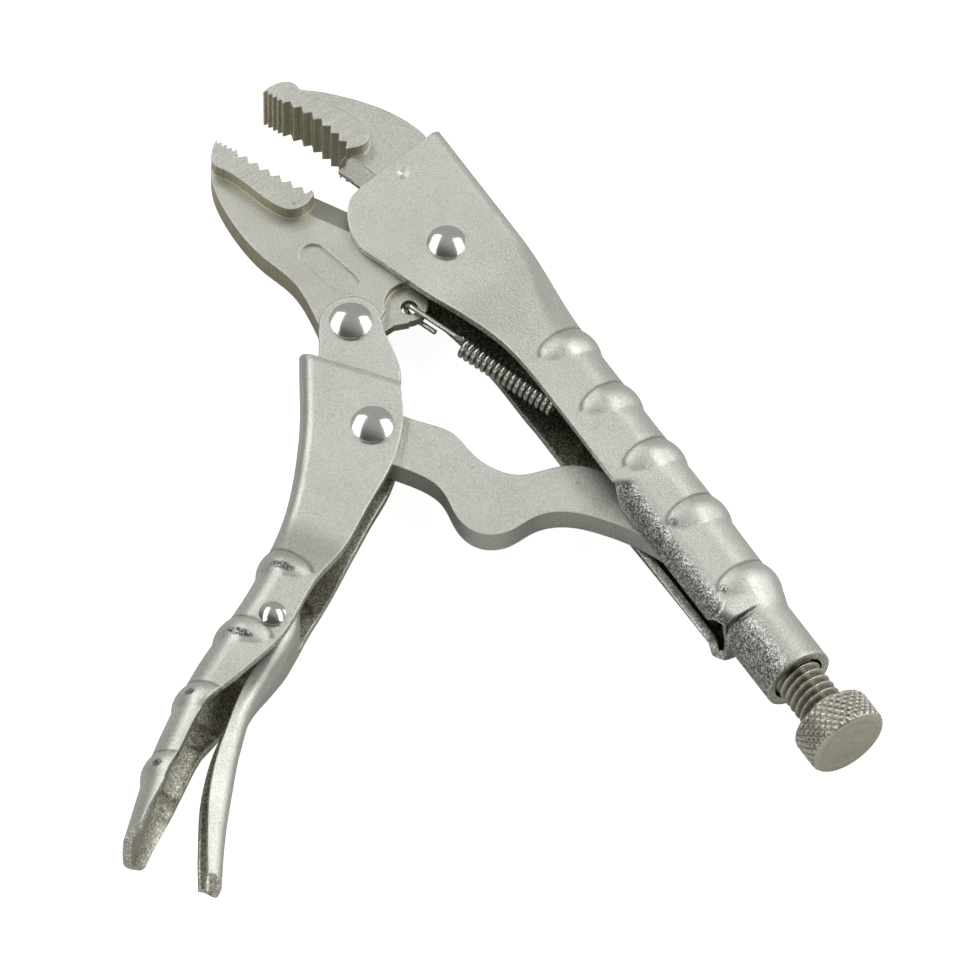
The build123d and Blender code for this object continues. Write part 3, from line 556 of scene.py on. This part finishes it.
def make_spring(sizes):
    """Round wire along one line: hook in the tab, straight leg, a coil of many turns, leg and hook in the
    tongue of the handle. The ring across the wire is set by the coil's axis on the coil and by the side
    elsewhere."""
    span = np.linalg.norm(ANCHOR - TAB_HOLE)
    pull = (ANCHOR - TAB_HOLE) / span
    side = np.array((-pull[1], pull[0], 0.0))
    up = np.array((0.0, 0.0, 1.0))
    coil_end = COIL_START + COIL_TURNS * COIL_PITCH
    far = span - HOOK_SHIFT
    bow = np.linspace(-math.pi / 2, math.pi / 2, 24)
    flat = np.zeros_like(bow)
    tab_tail = stretch(HOOK_SHIFT + TAB_TAIL, HOOK_SHIFT + 0.2, -HOOK_REACH, 20)
    tab_hook = np.column_stack((HOOK_SHIFT - HOOK_REACH * np.cos(bow), flat, HOOK_REACH * np.sin(bow)))
    tab_leg = stretch(HOOK_SHIFT + 0.3, COIL_START - 1.6, HOOK_REACH, 24)
    turns = np.linspace(0, COIL_TURNS, COIL_TURNS * 36)
    whirl = 2 * math.pi * turns
    coil = np.column_stack((
        COIL_START + turns * COIL_PITCH, COIL_RADIUS * np.sin(whirl), COIL_RADIUS * np.cos(whirl),
    ))
    far_leg = stretch(coil_end + 1.6, far - 0.3, HOOK_REACH, 24)
    far_hook = np.column_stack((far + HOOK_REACH * np.cos(bow), flat, -HOOK_REACH * np.sin(bow)))
    far_tail = stretch(far - 0.2, far - ANCHOR_TAIL, -HOOK_REACH, 10)
    parts = (tab_tail, tab_hook, tab_leg, coil, far_leg, far_hook, far_tail)
    local = np.concatenate(parts)
    wound = np.concatenate([np.full(len(part), 1.0 if part is coil else 0.0) for part in parts])
    padded = np.concatenate((np.repeat(wound[:1], 6), wound, np.repeat(wound[-1:], 6)))
    wound = np.convolve(padded, np.ones(13) / 13, mode="valid")
    line = TAB_HOLE + local[:, :1] * pull + local[:, 1:2] * side + local[:, 2:] * up
    way = unit_ways(line)
    guide = (1 - wound)[:, None] * side - wound[:, None] * pull
    first = np.cross(way, guide)
    first = first / np.linalg.norm(first, axis=1)[:, None]
    second = np.cross(way, first)
    angle = np.linspace(0, 2 * math.pi, 13)[:-1]
    ring = first[:, None, :] * np.cos(angle)[None, :, None]
    ring = ring + second[:, None, :] * np.sin(angle)[None, :, None]
    skin = line[:, None, :] + ring * (sizes.spring_wire * TO_MM) / 2
    ends = line[[0, -1], None, :].repeat(len(angle), axis=1)
    points = np.concatenate((ends[:1], skin, ends[1:]))
    faces = grid_faces(len(points), len(angle), wrap_columns=True)
    thing = put_mesh("spring_wound", points, faces, None, "spring_wire", TURNED_SHARP)
    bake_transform(thing)
    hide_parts("return_spring")
    return thing


# Finishes: the jaw pads' height from mid thickness in metres, and grinding lines per metre
PAD_HEIGHT = (0.0051, 0.0053)
STREAKS = 3400.0


def node(tree, kind, **values):
    """Adds a shader node; a capital letter starts the name of an input, with underscores for spaces."""
    made = tree.nodes.new(kind)
    for key, value in values.items():
        if key[0].isupper():
            made.inputs[key.replace("_", " ")].default_value = value
        else:
            setattr(made, key, value)
    return made


def maths(tree, operation, first, second):
    """Output of a Math node on two sockets or numbers."""
    made = node(tree, "ShaderNodeMath", operation=operation)
    for place, value in enumerate((first, second)):
        if hasattr(value, "is_linked"):
            tree.links.new(value, made.inputs[place])
        else:
            made.inputs[place].default_value = value
    return made.outputs[0]


def stepped(tree, value, low, high, start=0.0, end=1.0, smoothed=True):
    """Output of a Map Range node: value from low to high becomes start to end."""
    made = node(
        tree, "ShaderNodeMapRange", interpolation_type="SMOOTHSTEP" if smoothed else "LINEAR",
        From_Min=low, From_Max=high, To_Min=start, To_Max=end,
    )
    tree.links.new(value, made.inputs["Value"])
    return made.outputs[0]


def group(name, inputs, outputs):
    """Empty shader node group with named number sockets, and its two end nodes."""
    tree = bpy.data.node_groups.new(name, "ShaderNodeTree")
    for socket, value in inputs:
        made = tree.interface.new_socket(name=socket, in_out="INPUT", socket_type="NodeSocketFloat")
        made.default_value = value
    for socket in outputs:
        tree.interface.new_socket(name=socket, in_out="OUTPUT", socket_type="NodeSocketFloat")
    return tree, tree.nodes.new("NodeGroupInput"), tree.nodes.new("NodeGroupOutput")


def grain_group():
    """Fine blasted grain: two sizes of noise and a few dark pits, as a shade near 1, and the fine noise as a
    height."""
    tree, start, end = group("blasted_grain", (("Scale", 1800.0), ("Contrast", 0.2)), ("Shade", "Height"))
    place = node(tree, "ShaderNodeTexCoord")
    fine = node(tree, "ShaderNodeTexNoise", Detail=2.0, Roughness=0.6)
    wide = node(tree, "ShaderNodeTexNoise", Scale=90.0, Detail=4.0)
    pits = node(tree, "ShaderNodeTexVoronoi", Scale=150.0)
    for texture in (fine, wide, pits):
        tree.links.new(place.outputs["Object"], texture.inputs["Vector"])
    tree.links.new(start.outputs["Scale"], fine.inputs["Scale"])
    broad = maths(tree, "MULTIPLY", wide.outputs["Fac"], 0.35)
    uneven = maths(tree, "SUBTRACT", maths(tree, "ADD", broad, fine.outputs["Fac"]), 0.68)
    shade = maths(tree, "ADD", maths(tree, "MULTIPLY", uneven, start.outputs["Contrast"]), 1.0)
    pitted = stepped(tree, pits.outputs["Distance"], 0.02, 0.05, 0.45, 1.0)
    tree.links.new(maths(tree, "MULTIPLY", shade, pitted), end.inputs["Shade"])
    tree.links.new(fine.outputs["Fac"], end.inputs["Height"])
    return tree


def glint_group():
    """Worn edges with a painted highlight: how far the rounded normal leaves the flat one, broken up by small
    cells, as a mask.
    """
    tree, start, end = group("edge_glint", (("Radius", 0.0005), ("Gain", 3.0)), ("Mask",))
    bevel = node(tree, "ShaderNodeBevel", samples=4)
    flat = node(tree, "ShaderNodeNewGeometry")
    dot = node(tree, "ShaderNodeVectorMath", operation="DOT_PRODUCT")
    place = node(tree, "ShaderNodeTexCoord")
    cells = node(tree, "ShaderNodeTexNoise", Scale=1500.0, Detail=1.0)
    tree.links.new(place.outputs["Object"], cells.inputs["Vector"])
    tree.links.new(start.outputs["Radius"], bevel.inputs["Radius"])
    tree.links.new(bevel.outputs["Normal"], dot.inputs[0])
    tree.links.new(flat.outputs["Normal"], dot.inputs[1])
    turned = maths(tree, "SUBTRACT", 1.0, dot.outputs["Value"])
    broken = stepped(tree, cells.outputs["Fac"], 0.35, 0.6, 0.25, 1.0)
    worn_and_glinting = maths(tree, "MULTIPLY", maths(tree, "MULTIPLY", turned, start.outputs["Gain"]), broken)
    tree.links.new(maths(tree, "MINIMUM", worn_and_glinting, 1.0), end.inputs["Mask"])
    return tree


def sparkle_group():
    """Salt and pepper of strained metal as painted sparkle: a random value for each small cell, squared, from
    0.2 to 1.5 times the colour, so its bright cells are painted glints; shown as far as the mask says."""
    tree, start, end = group("strained_painted_sparkle", (("Scale", 4000.0), ("Mask", 1.0)), ("Shade",))
    place = node(tree, "ShaderNodeTexCoord")
    cells = node(tree, "ShaderNodeTexVoronoi")
    tree.links.new(place.outputs["Object"], cells.inputs["Vector"])
    tree.links.new(start.outputs["Scale"], cells.inputs["Scale"])
    value = node(tree, "ShaderNodeSeparateColor")
    tree.links.new(cells.outputs["Color"], value.inputs[0])
    squared = maths(tree, "MULTIPLY", value.outputs[0], value.outputs[0])
    shown = node(tree, "ShaderNodeMix", data_type="FLOAT")
    shown.inputs[2].default_value = 1.0
    tree.links.new(start.outputs["Mask"], shown.inputs[0])
    tree.links.new(stepped(tree, squared, 0.0, 1.0, 0.2, 1.5, False), shown.inputs[3])
    tree.links.new(shown.outputs[0], end.inputs["Shade"])
    return tree


def streak_group():
    """Grinding lines: noise drawn out along one axis by unequal scales, as a shade between two values."""
    scales = (("Across X", 1.0), ("Across Y", 1.0), ("Across Z", 1.0), ("Low", 0.86), ("High", 1.1))
    tree, start, end = group("grinding_streaks", scales, ("Shade",))
    place = node(tree, "ShaderNodeTexCoord")
    scale = node(tree, "ShaderNodeCombineXYZ")
    drawn = node(tree, "ShaderNodeVectorMath", operation="MULTIPLY")
    lines = node(tree, "ShaderNodeTexNoise", Scale=1.0, Detail=3.0, Roughness=0.65)
    spread = node(tree, "ShaderNodeMapRange", From_Min=0.3, From_Max=0.7)
    for title, socket in (("Across X", "X"), ("Across Y", "Y"), ("Across Z", "Z")):
        tree.links.new(start.outputs[title], scale.inputs[socket])
    tree.links.new(place.outputs["Object"], drawn.inputs[0])
    tree.links.new(scale.outputs[0], drawn.inputs[1])
    tree.links.new(drawn.outputs[0], lines.inputs["Vector"])
    tree.links.new(lines.outputs["Fac"], spread.inputs["Value"])
    tree.links.new(start.outputs["Low"], spread.inputs["To Min"])
    tree.links.new(start.outputs["High"], spread.inputs["To Max"])
    tree.links.new(spread.outputs[0], end.inputs["Shade"])
    return tree


def tinted(tree, colour, shade):
    """Colour, a socket or three numbers, times a shade socket."""
    mix = node(tree, "ShaderNodeMix", data_type="RGBA", blend_type="MULTIPLY")
    mix.inputs[0].default_value = 1.0
    spread = node(tree, "ShaderNodeCombineColor")
    for part in spread.inputs:
        tree.links.new(shade, part)
    if hasattr(colour, "is_linked"):
        tree.links.new(colour, mix.inputs[6])
    else:
        mix.inputs[6].default_value = (*colour, 1.0)
    tree.links.new(spread.outputs[0], mix.inputs[7])
    return mix.outputs[2]


def mixed(tree, share, first, second, kind="MIX"):
    """Colour socket mixed with three numbers by a share socket."""
    mix = node(tree, "ShaderNodeMix", data_type="RGBA", blend_type=kind)
    mix.inputs[7].default_value = (*second, 1.0)
    tree.links.new(share, mix.inputs[0])
    tree.links.new(first, mix.inputs[6])
    return mix.outputs[2]


def jaw_zones(tree, groups, now, warm):
    """Forged jaw: grinding lines on the raised pads, and warm side walls streaked along Z by the cutter."""
    place = node(tree, "ShaderNodeTexCoord")
    spot = node(tree, "ShaderNodeSeparateXYZ")
    lean = node(tree, "ShaderNodeSeparateXYZ")
    tree.links.new(place.outputs["Object"], spot.inputs[0])
    tree.links.new(place.outputs["Normal"], lean.inputs[0])
    height = maths(tree, "ABSOLUTE", maths(tree, "SUBTRACT", spot.outputs["Z"], float(JAW_PIVOT[2])), 0.0)
    upright = maths(tree, "ABSOLUTE", lean.outputs["Z"], 0.0)
    pad = maths(tree, "MULTIPLY", stepped(tree, height, *PAD_HEIGHT), stepped(tree, upright, 0.8, 0.9))
    side = stepped(tree, upright, 0.6, 0.3)
    for share, across_y, across_z in ((pad, 90.0, 1.0), (side, STREAKS, 60.0)):
        lines = node(
            tree, "ShaderNodeGroup", node_tree=groups["streaks"],
            Across_X=STREAKS, Across_Y=across_y, Across_Z=across_z,
        )
        even = node(tree, "ShaderNodeMix", data_type="FLOAT")
        even.inputs[2].default_value = 1.0
        tree.links.new(share, even.inputs[0])
        tree.links.new(lines.outputs["Shade"], even.inputs[3])
        now = tinted(tree, now, even.outputs[0])
    return mixed(tree, side, now, warm, "MULTIPLY")


def metal(
    name, groups, colour, edge_glint_colour, roughness, grain, contrast, bump,
    strain=0.0, painted_sparkle=0.0, warm=None, edge_radius=0.0005, edge_gain=4.0,
):
    """Plated metal: grain, painted sparkle and painted shade darken the colour, worn edges with a painted
    highlight brighten it, and the grain gives roughness and bump. Strained metal gets painted sparkle by
    the strain attribute, and painted sparkle can lie all over."""
    made = bpy.data.materials.new(name)
    made.use_nodes = True
    tree = made.node_tree
    tree.nodes.clear()
    out = node(tree, "ShaderNodeOutputMaterial")
    shader = node(tree, "ShaderNodeBsdfPrincipled", Metallic=1.0)
    fine = node(tree, "ShaderNodeGroup", node_tree=groups["grain"], Scale=grain, Contrast=contrast)
    now = tinted(tree, colour, fine.outputs["Shade"])
    if warm is not None:
        now = jaw_zones(tree, groups, now, warm)
    # Painted sparkle: random cell tone whose bright cells are painted glints, on strained metal and all over
    # where asked.
    if strain or painted_sparkle:
        sparkle = node(tree, "ShaderNodeGroup", node_tree=groups["painted_sparkle"], Mask=painted_sparkle)
        if strain:
            worked = node(tree, "ShaderNodeAttribute", attribute_name="strain")
            tree.links.new(maths(tree, "MULTIPLY", worked.outputs["Fac"], strain), sparkle.inputs["Mask"])
        now = tinted(tree, now, sparkle.outputs["Shade"])
    # Painted shade: this point layer darkens the colour to as little as 0.08 of it in the bar creases, the
    # open seam, the dents at the bar ends, the thread roots and the knurl grooves.
    pressed = node(tree, "ShaderNodeAttribute", attribute_name="marks")
    now = tinted(tree, now, stepped(tree, pressed.outputs["Fac"], 0.0, 1.0, 1.0, 0.08, False))
    # Worn edges with a painted highlight: the edge mask mixes the pale edge colour in.
    worn_and_glinting = node(tree, "ShaderNodeGroup", node_tree=groups["glint"], Radius=edge_radius, Gain=edge_gain)
    now = mixed(tree, worn_and_glinting.outputs["Mask"], now, edge_glint_colour)
    rough = stepped(tree, fine.outputs["Shade"], 0.8, 1.2, roughness + 0.07, roughness - 0.07, False)
    height = node(tree, "ShaderNodeBump", Strength=bump, Distance=0.0002)
    bevel = node(tree, "ShaderNodeBevel", samples=4, Radius=edge_radius * 0.7)
    tree.links.new(bevel.outputs[0], height.inputs["Normal"])
    tree.links.new(fine.outputs["Height"], height.inputs["Height"])
    tree.links.new(now, shader.inputs["Base Color"])
    tree.links.new(rough, shader.inputs["Roughness"])
    tree.links.new(height.outputs[0], shader.inputs["Normal"])
    tree.links.new(shader.outputs[0], out.inputs["Surface"])
    return made


def dress(thing, *finishes):
    """Puts the finishes into a piece's material slots."""
    thing.data.materials.clear()
    for finish in finishes:
        thing.data.materials.append(finish)


def length(title, note, size):
    """Length property in metres."""
    return bpy.props.FloatProperty(name=title, description=note, default=size, unit="LENGTH")


def colour(title, note, tint):
    """Colour property."""
    return bpy.props.FloatVectorProperty(name=title, description=note, default=tint, subtype="COLOR")


class PliersSizes(bpy.types.PropertyGroup):
    """Sizes of the visible pieces."""

    sheet: length("Sheet", "Thickness of the handle sheet", 0.0016)
    edge_round: length("Edge round", "Rounding of cut sheet edges", 0.00022)
    ridge_length: length("Ridge width", "Width of a grip ridge along the handle", 0.0058)
    ridge_height: length("Ridge height", "Rise of a grip ridge", 0.00075)
    thread_diameter: length("Thread", "Outer thread diameter", 0.0090)
    thread_pitch: length("Pitch", "Rise of the thread per turn", 0.0016)
    thread_depth: length("Thread depth", "Crest to root", 0.00085)
    knob_diameter: length("Knob", "Knob diameter", 0.0154)
    knob_length: length("Knob length", "Length of the knob along the screw", 0.0068)
    knurl_count: bpy.props.IntProperty(
        name="Knurl count", description="Grooves of each hand round the knob", default=30
    )
    knurl_pitch: length("Knurl pitch", "Length of a diamond along the knob", 0.0017)
    knurl_depth: length("Knurl depth", "Depth of the knurl", 0.00045)
    lever_sheet: length("Lever sheet", "Thickness of the lever sheet", 0.0012)
    lever_roll: bpy.props.FloatProperty(
        name="Lever roll", description="Roll of the lever past its head",
        default=math.radians(16.0), subtype="ANGLE",
    )
    spring_wire: length("Spring wire", "Wire diameter of the return spring", 0.00095)


class PliersColours(bpy.types.PropertyGroup):
    """Colours of the finishes."""

    sheet: colour("Plated sheet", "Handles and lever", (0.66, 0.66, 0.61))
    # Painted shade: the upper handle's inside is darker and yellower than the sheet colour.
    inside: colour("Sheet inside", "Inner faces of the upper handle", (0.46, 0.46, 0.36))
    # Painted light: the inside of the lower handle and the lever is lighter than the sheet colour.
    grip: colour("Grip inside", "Inner faces of the lower handle and the lever", (0.80, 0.78, 0.66))
    # Cut edge colour: bare cut metal, made lighter than the sheet as a painted highlight.
    rim: colour("Sheet rim", "Cut edges of the sheet", (0.84, 0.85, 0.76))
    plate: colour("Plate", "Toggle link", (0.64, 0.64, 0.59))
    jaw: colour("Jaw", "Forged jaws", (0.61, 0.61, 0.555))
    warm: colour("Jaw sides", "Tint of tooth faces and side walls", (0.84, 0.77, 0.60))
    screw: colour("Screw", "Screw and knob", (0.64, 0.62, 0.52))
    wire: colour("Spring", "Spring wire", (0.70, 0.69, 0.63))
    rivet: colour("Rivet", "Rivet heads", (0.72, 0.72, 0.68))
    # Worn edge colour, also the painted highlight mixed onto rounded edges.
    edge: colour("Worn edge", "Bare metal on worn edges", (0.90, 0.91, 0.84))


def finishes():
    """All finishes by name, made once."""
    if "satin_sheet" in bpy.data.materials:
        return {made.name: made for made in bpy.data.materials}
    tint = bpy.context.scene.pliers_colours
    groups = {
        "grain": grain_group(), "glint": glint_group(), "painted_sparkle": sparkle_group(), "streaks": streak_group(),
    }
    sheet = {"roughness": 0.40, "grain": 3600, "contrast": 1.0, "bump": 0.4}
    turned = {"roughness": 0.30, "grain": 1500, "contrast": 0.6, "bump": 0.1}
    drawn = {"roughness": 0.22, "grain": 900, "contrast": 0.2, "bump": 0.05}
    polished = {"roughness": 0.13, "grain": 900, "contrast": 0.15, "bump": 0.03}
    metal("satin_sheet", groups, tint.sheet, tint.edge, **sheet, strain=1.0, edge_gain=6.0)
    # Shaded and lit copies of the sheet finish for the insides: painted shade in the upper handle, painted
    # light in the lower handle and the lever.
    metal("sheet_inside", groups, tint.inside, tint.inside, **sheet, painted_sparkle=0.8)
    metal("grip_inside", groups, tint.grip, tint.grip, **sheet, painted_sparkle=0.62)
    metal("sheet_rim", groups, tint.rim, tint.edge, **sheet, painted_sparkle=0.6)
    metal("satin_plate", groups, tint.plate, tint.edge, **sheet, edge_gain=6.0)
    metal("blasted_jaw", groups, tint.jaw, tint.edge, **sheet, warm=tint.warm, edge_gain=6.0)
    metal("turned_steel", groups, tint.screw, tint.rim, **turned, edge_gain=2.0)
    metal("drawn_wire", groups, tint.wire, tint.wire, **drawn)
    metal("polished_rivet", groups, tint.rivet, tint.rivet, **polished)
    return {made.name: made for made in bpy.data.materials}


class PLIERS_OT_handles(bpy.types.Operator):
    """Builds both pressed handles with their grip ridges, the fork and the release lever"""

    bl_idname = "pliers.handles"
    bl_label = "Handles and lever"

    def execute(self, context):
        sizes = context.scene.pliers_sizes
        looks = finishes()
        outside = looks["satin_sheet"]
        rim = looks["sheet_rim"]
        grip = (outside, looks["grip_inside"], rim)
        dress(make_upper_handle(sizes), outside, looks["sheet_inside"], rim)
        dress(make_lower_handle(sizes), *grip)
        for cheek in make_fork(sizes):
            dress(cheek, outside)
        dress(make_lever(sizes), *grip)
        return {"FINISHED"}


class PLIERS_OT_jaws(bpy.types.Operator):
    """Finishes both jaws, the toggle link and the rivets"""

    bl_idname = "pliers.jaws"
    bl_label = "Jaws, link and rivets"

    def execute(self, context):
        looks = finishes()
        for name in ("fixed_jaw", "movable_jaw"):
            dress(NODES[name], looks["blasted_jaw"])
        dress(NODES["toggle_link"], looks["satin_plate"])
        for name in ("jaw_pivot_rivet", "handle_pivot_rivet", "link_pivot_rivet", "lever_pivot_rivet"):
            dress(NODES[name], looks["polished_rivet"])
        return {"FINISHED"}


class PLIERS_OT_screw(bpy.types.Operator):
    """Builds the adjusting screw, its knurled knob and the return spring"""

    bl_idname = "pliers.screw"
    bl_label = "Screw, knob and spring"

    def execute(self, context):
        sizes = context.scene.pliers_sizes
        looks = finishes()
        dress(make_screw(sizes), looks["turned_steel"])
        dress(make_knob(sizes), looks["turned_steel"])
        dress(make_spring(sizes), looks["drawn_wire"])
        return {"FINISHED"}


# Stage: each light has the way to it from the part, the way of its long side, two sizes and a power
FLOOR_HALF = 6.0
LIGHTS = (
    ("left_strip", (-0.55, -0.25, 0.80), (0.73, -0.94, 0.20), 1.25, 0.30, 3.5),
    ("right_strip", (0.09, 0.59, 0.80), (0.96, -0.23, 0.06), 1.0, 0.30, 3.0),
    ("rear_box", (0.15, 0.95, 0.30), (1.0, 0.0, 0.0), 0.9, 0.35, 1.4),
    ("near_box", (0.68, -0.68, 0.28), (0.7, 0.7, 0.0), 1.4, 0.35, 1.6),
    ("front_box", (-0.35, -0.85, 0.30), (1.0, -0.4, 0.0), 0.8, 0.30, 0.5),
)
LIT_POINT = Vector((0.0, 0.0, 0.01))
SKY_WAY = (-0.5, 0.85, 0.15)
CAMERA_AZIMUTH = math.radians(57.0)
CAMERA_RISE = math.radians(57.0)
CAMERA_DISTANCE = 6.0
SENSOR = 36.0
IMAGE_SIDE = 960
PIXELS_PER_METRE = 5500.0
PIVOT_PIXEL = (446.9, 255.9)


def make_floor(scene):
    """Wide pale square that shows white to the camera and lights the part softly from below."""
    mesh = bpy.data.meshes.new("floor")
    corners = [(x * FLOOR_HALF, y * FLOOR_HALF, 0) for x, y in ((-1, -1), (1, -1), (1, 1), (-1, 1))]
    mesh.from_pydata(corners, [], [(0, 1, 2, 3)])
    ground = bpy.data.objects.new("floor", mesh)
    scene.collection.objects.link(ground)
    white = bpy.data.materials.new("floor_white")
    white.use_nodes = True
    tree = white.node_tree
    shader = tree.nodes["Principled BSDF"]
    shader.inputs["Base Color"].default_value = (0.70, 0.70, 0.68, 1.0)
    shader.inputs["Roughness"].default_value = 0.9
    shader.inputs["Emission Color"].default_value = (1.0, 1.0, 1.0, 1.0)
    path = node(tree, "ShaderNodeLightPath")
    glow = maths(tree, "MULTIPLY", path.outputs["Is Camera Ray"], 0.9)
    tree.links.new(glow, shader.inputs["Emission Strength"])
    dress(ground, white)


def make_world(scene):
    """Even studio sky, brighter away from the camera."""
    world = bpy.data.worlds.new("studio")
    world.use_nodes = True
    tree = world.node_tree
    sky = tree.nodes["Background"]
    sky.inputs["Color"].default_value = (1.0, 1.0, 0.985, 1.0)
    place = node(tree, "ShaderNodeTexCoord")
    facing = node(tree, "ShaderNodeVectorMath", operation="DOT_PRODUCT")
    facing.inputs[1].default_value = SKY_WAY
    tree.links.new(place.outputs["Generated"], facing.inputs[0])
    level = stepped(tree, facing.outputs["Value"], -0.05, 0.6, 0.10, 0.42)
    tree.links.new(level, sky.inputs["Strength"])
    scene.world = world


def make_lights(scene):
    """Soft boxes one metre from the part, each facing it with its long side along the given way."""
    for name, way, along, long, short, power in LIGHTS:
        lamp = bpy.data.lights.new(name, "AREA")
        lamp.shape = "RECTANGLE"
        lamp.size = long
        lamp.size_y = short
        lamp.energy = power
        thing = bpy.data.objects.new(name, lamp)
        out = Vector(way).normalized()
        side = out.cross(Vector(along)).normalized()
        thing.location = LIT_POINT + out
        thing.rotation_mode = "QUATERNION"
        thing.rotation_quaternion = Matrix((side.cross(out), side, out)).transposed().to_quaternion()
        scene.collection.objects.link(thing)


def make_camera(scene):
    """Camera far off at the photograph's angle, aimed so that the jaw pivot falls on its pixel."""
    flat = math.cos(CAMERA_RISE)
    back = Vector((math.sin(CAMERA_AZIMUTH) * flat, -math.cos(CAMERA_AZIMUTH) * flat, math.sin(CAMERA_RISE)))
    right = Vector((math.cos(CAMERA_AZIMUTH), math.sin(CAMERA_AZIMUTH), 0.0))
    up = back.cross(right)
    middle = IMAGE_SIDE / 2
    aim = Vector(JAW_PIVOT) + right * ((middle - PIVOT_PIXEL[0]) / PIXELS_PER_METRE)
    aim = aim - up * ((middle - PIVOT_PIXEL[1]) / PIXELS_PER_METRE)
    lens = bpy.data.cameras.new("camera")
    lens.sensor_width = SENSOR
    lens.lens = SENSOR * CAMERA_DISTANCE / (IMAGE_SIDE / PIXELS_PER_METRE)
    eye = bpy.data.objects.new("camera", lens)
    eye.location = aim + back * CAMERA_DISTANCE
    eye.rotation_mode = "QUATERNION"
    eye.rotation_quaternion = back.to_track_quat("Z", "Y")
    scene.collection.objects.link(eye)
    scene.camera = eye


class PLIERS_OT_stage(bpy.types.Operator):
    """Sets the pale floor, the soft lights and the camera at the photograph's angle"""

    bl_idname = "pliers.stage"
    bl_label = "Stage"

    def execute(self, context):
        make_floor(context.scene)
        make_world(context.scene)
        make_lights(context.scene)
        make_camera(context.scene)
        context.scene.view_settings.view_transform = "Standard"
        return {"FINISHED"}


class PLIERS_PT_panel(bpy.types.Panel):
    """Lists the sizes, the colours and the pieces that can be built"""

    bl_label = "Locking Pliers"
    bl_idname = "PLIERS_PT_panel"
    bl_space_type = "VIEW_3D"
    bl_region_type = "UI"
    bl_category = "Pliers"

    def draw(self, context):
        for settings in (context.scene.pliers_sizes, context.scene.pliers_colours):
            for name in settings.__annotations__:
                self.layout.prop(settings, name)
        for kind in OPERATORS:
            self.layout.operator(kind.bl_idname)


OPERATORS = (PLIERS_OT_handles, PLIERS_OT_jaws, PLIERS_OT_screw, PLIERS_OT_stage)
CLASSES = (PliersSizes, PliersColours, *OPERATORS, PLIERS_PT_panel)


def register():
    """Registers the classes and puts the sizes and colours on the scene."""
    for kind in CLASSES:
        bpy.utils.register_class(kind)
    bpy.types.Scene.pliers_sizes = bpy.props.PointerProperty(type=PliersSizes)
    bpy.types.Scene.pliers_colours = bpy.props.PointerProperty(type=PliersColours)


def unregister():
    """Takes the sizes, the colours and the classes away again."""
    del bpy.types.Scene.pliers_colours
    del bpy.types.Scene.pliers_sizes
    for kind in reversed(CLASSES):
        bpy.utils.unregister_class(kind)


def main():
    """Builds everything in order."""
    register()
    bpy.ops.pliers.stage()
    bpy.ops.pliers.handles()
    bpy.ops.pliers.jaws()
    bpy.ops.pliers.screw()


if __name__ == "__main__":
    main()
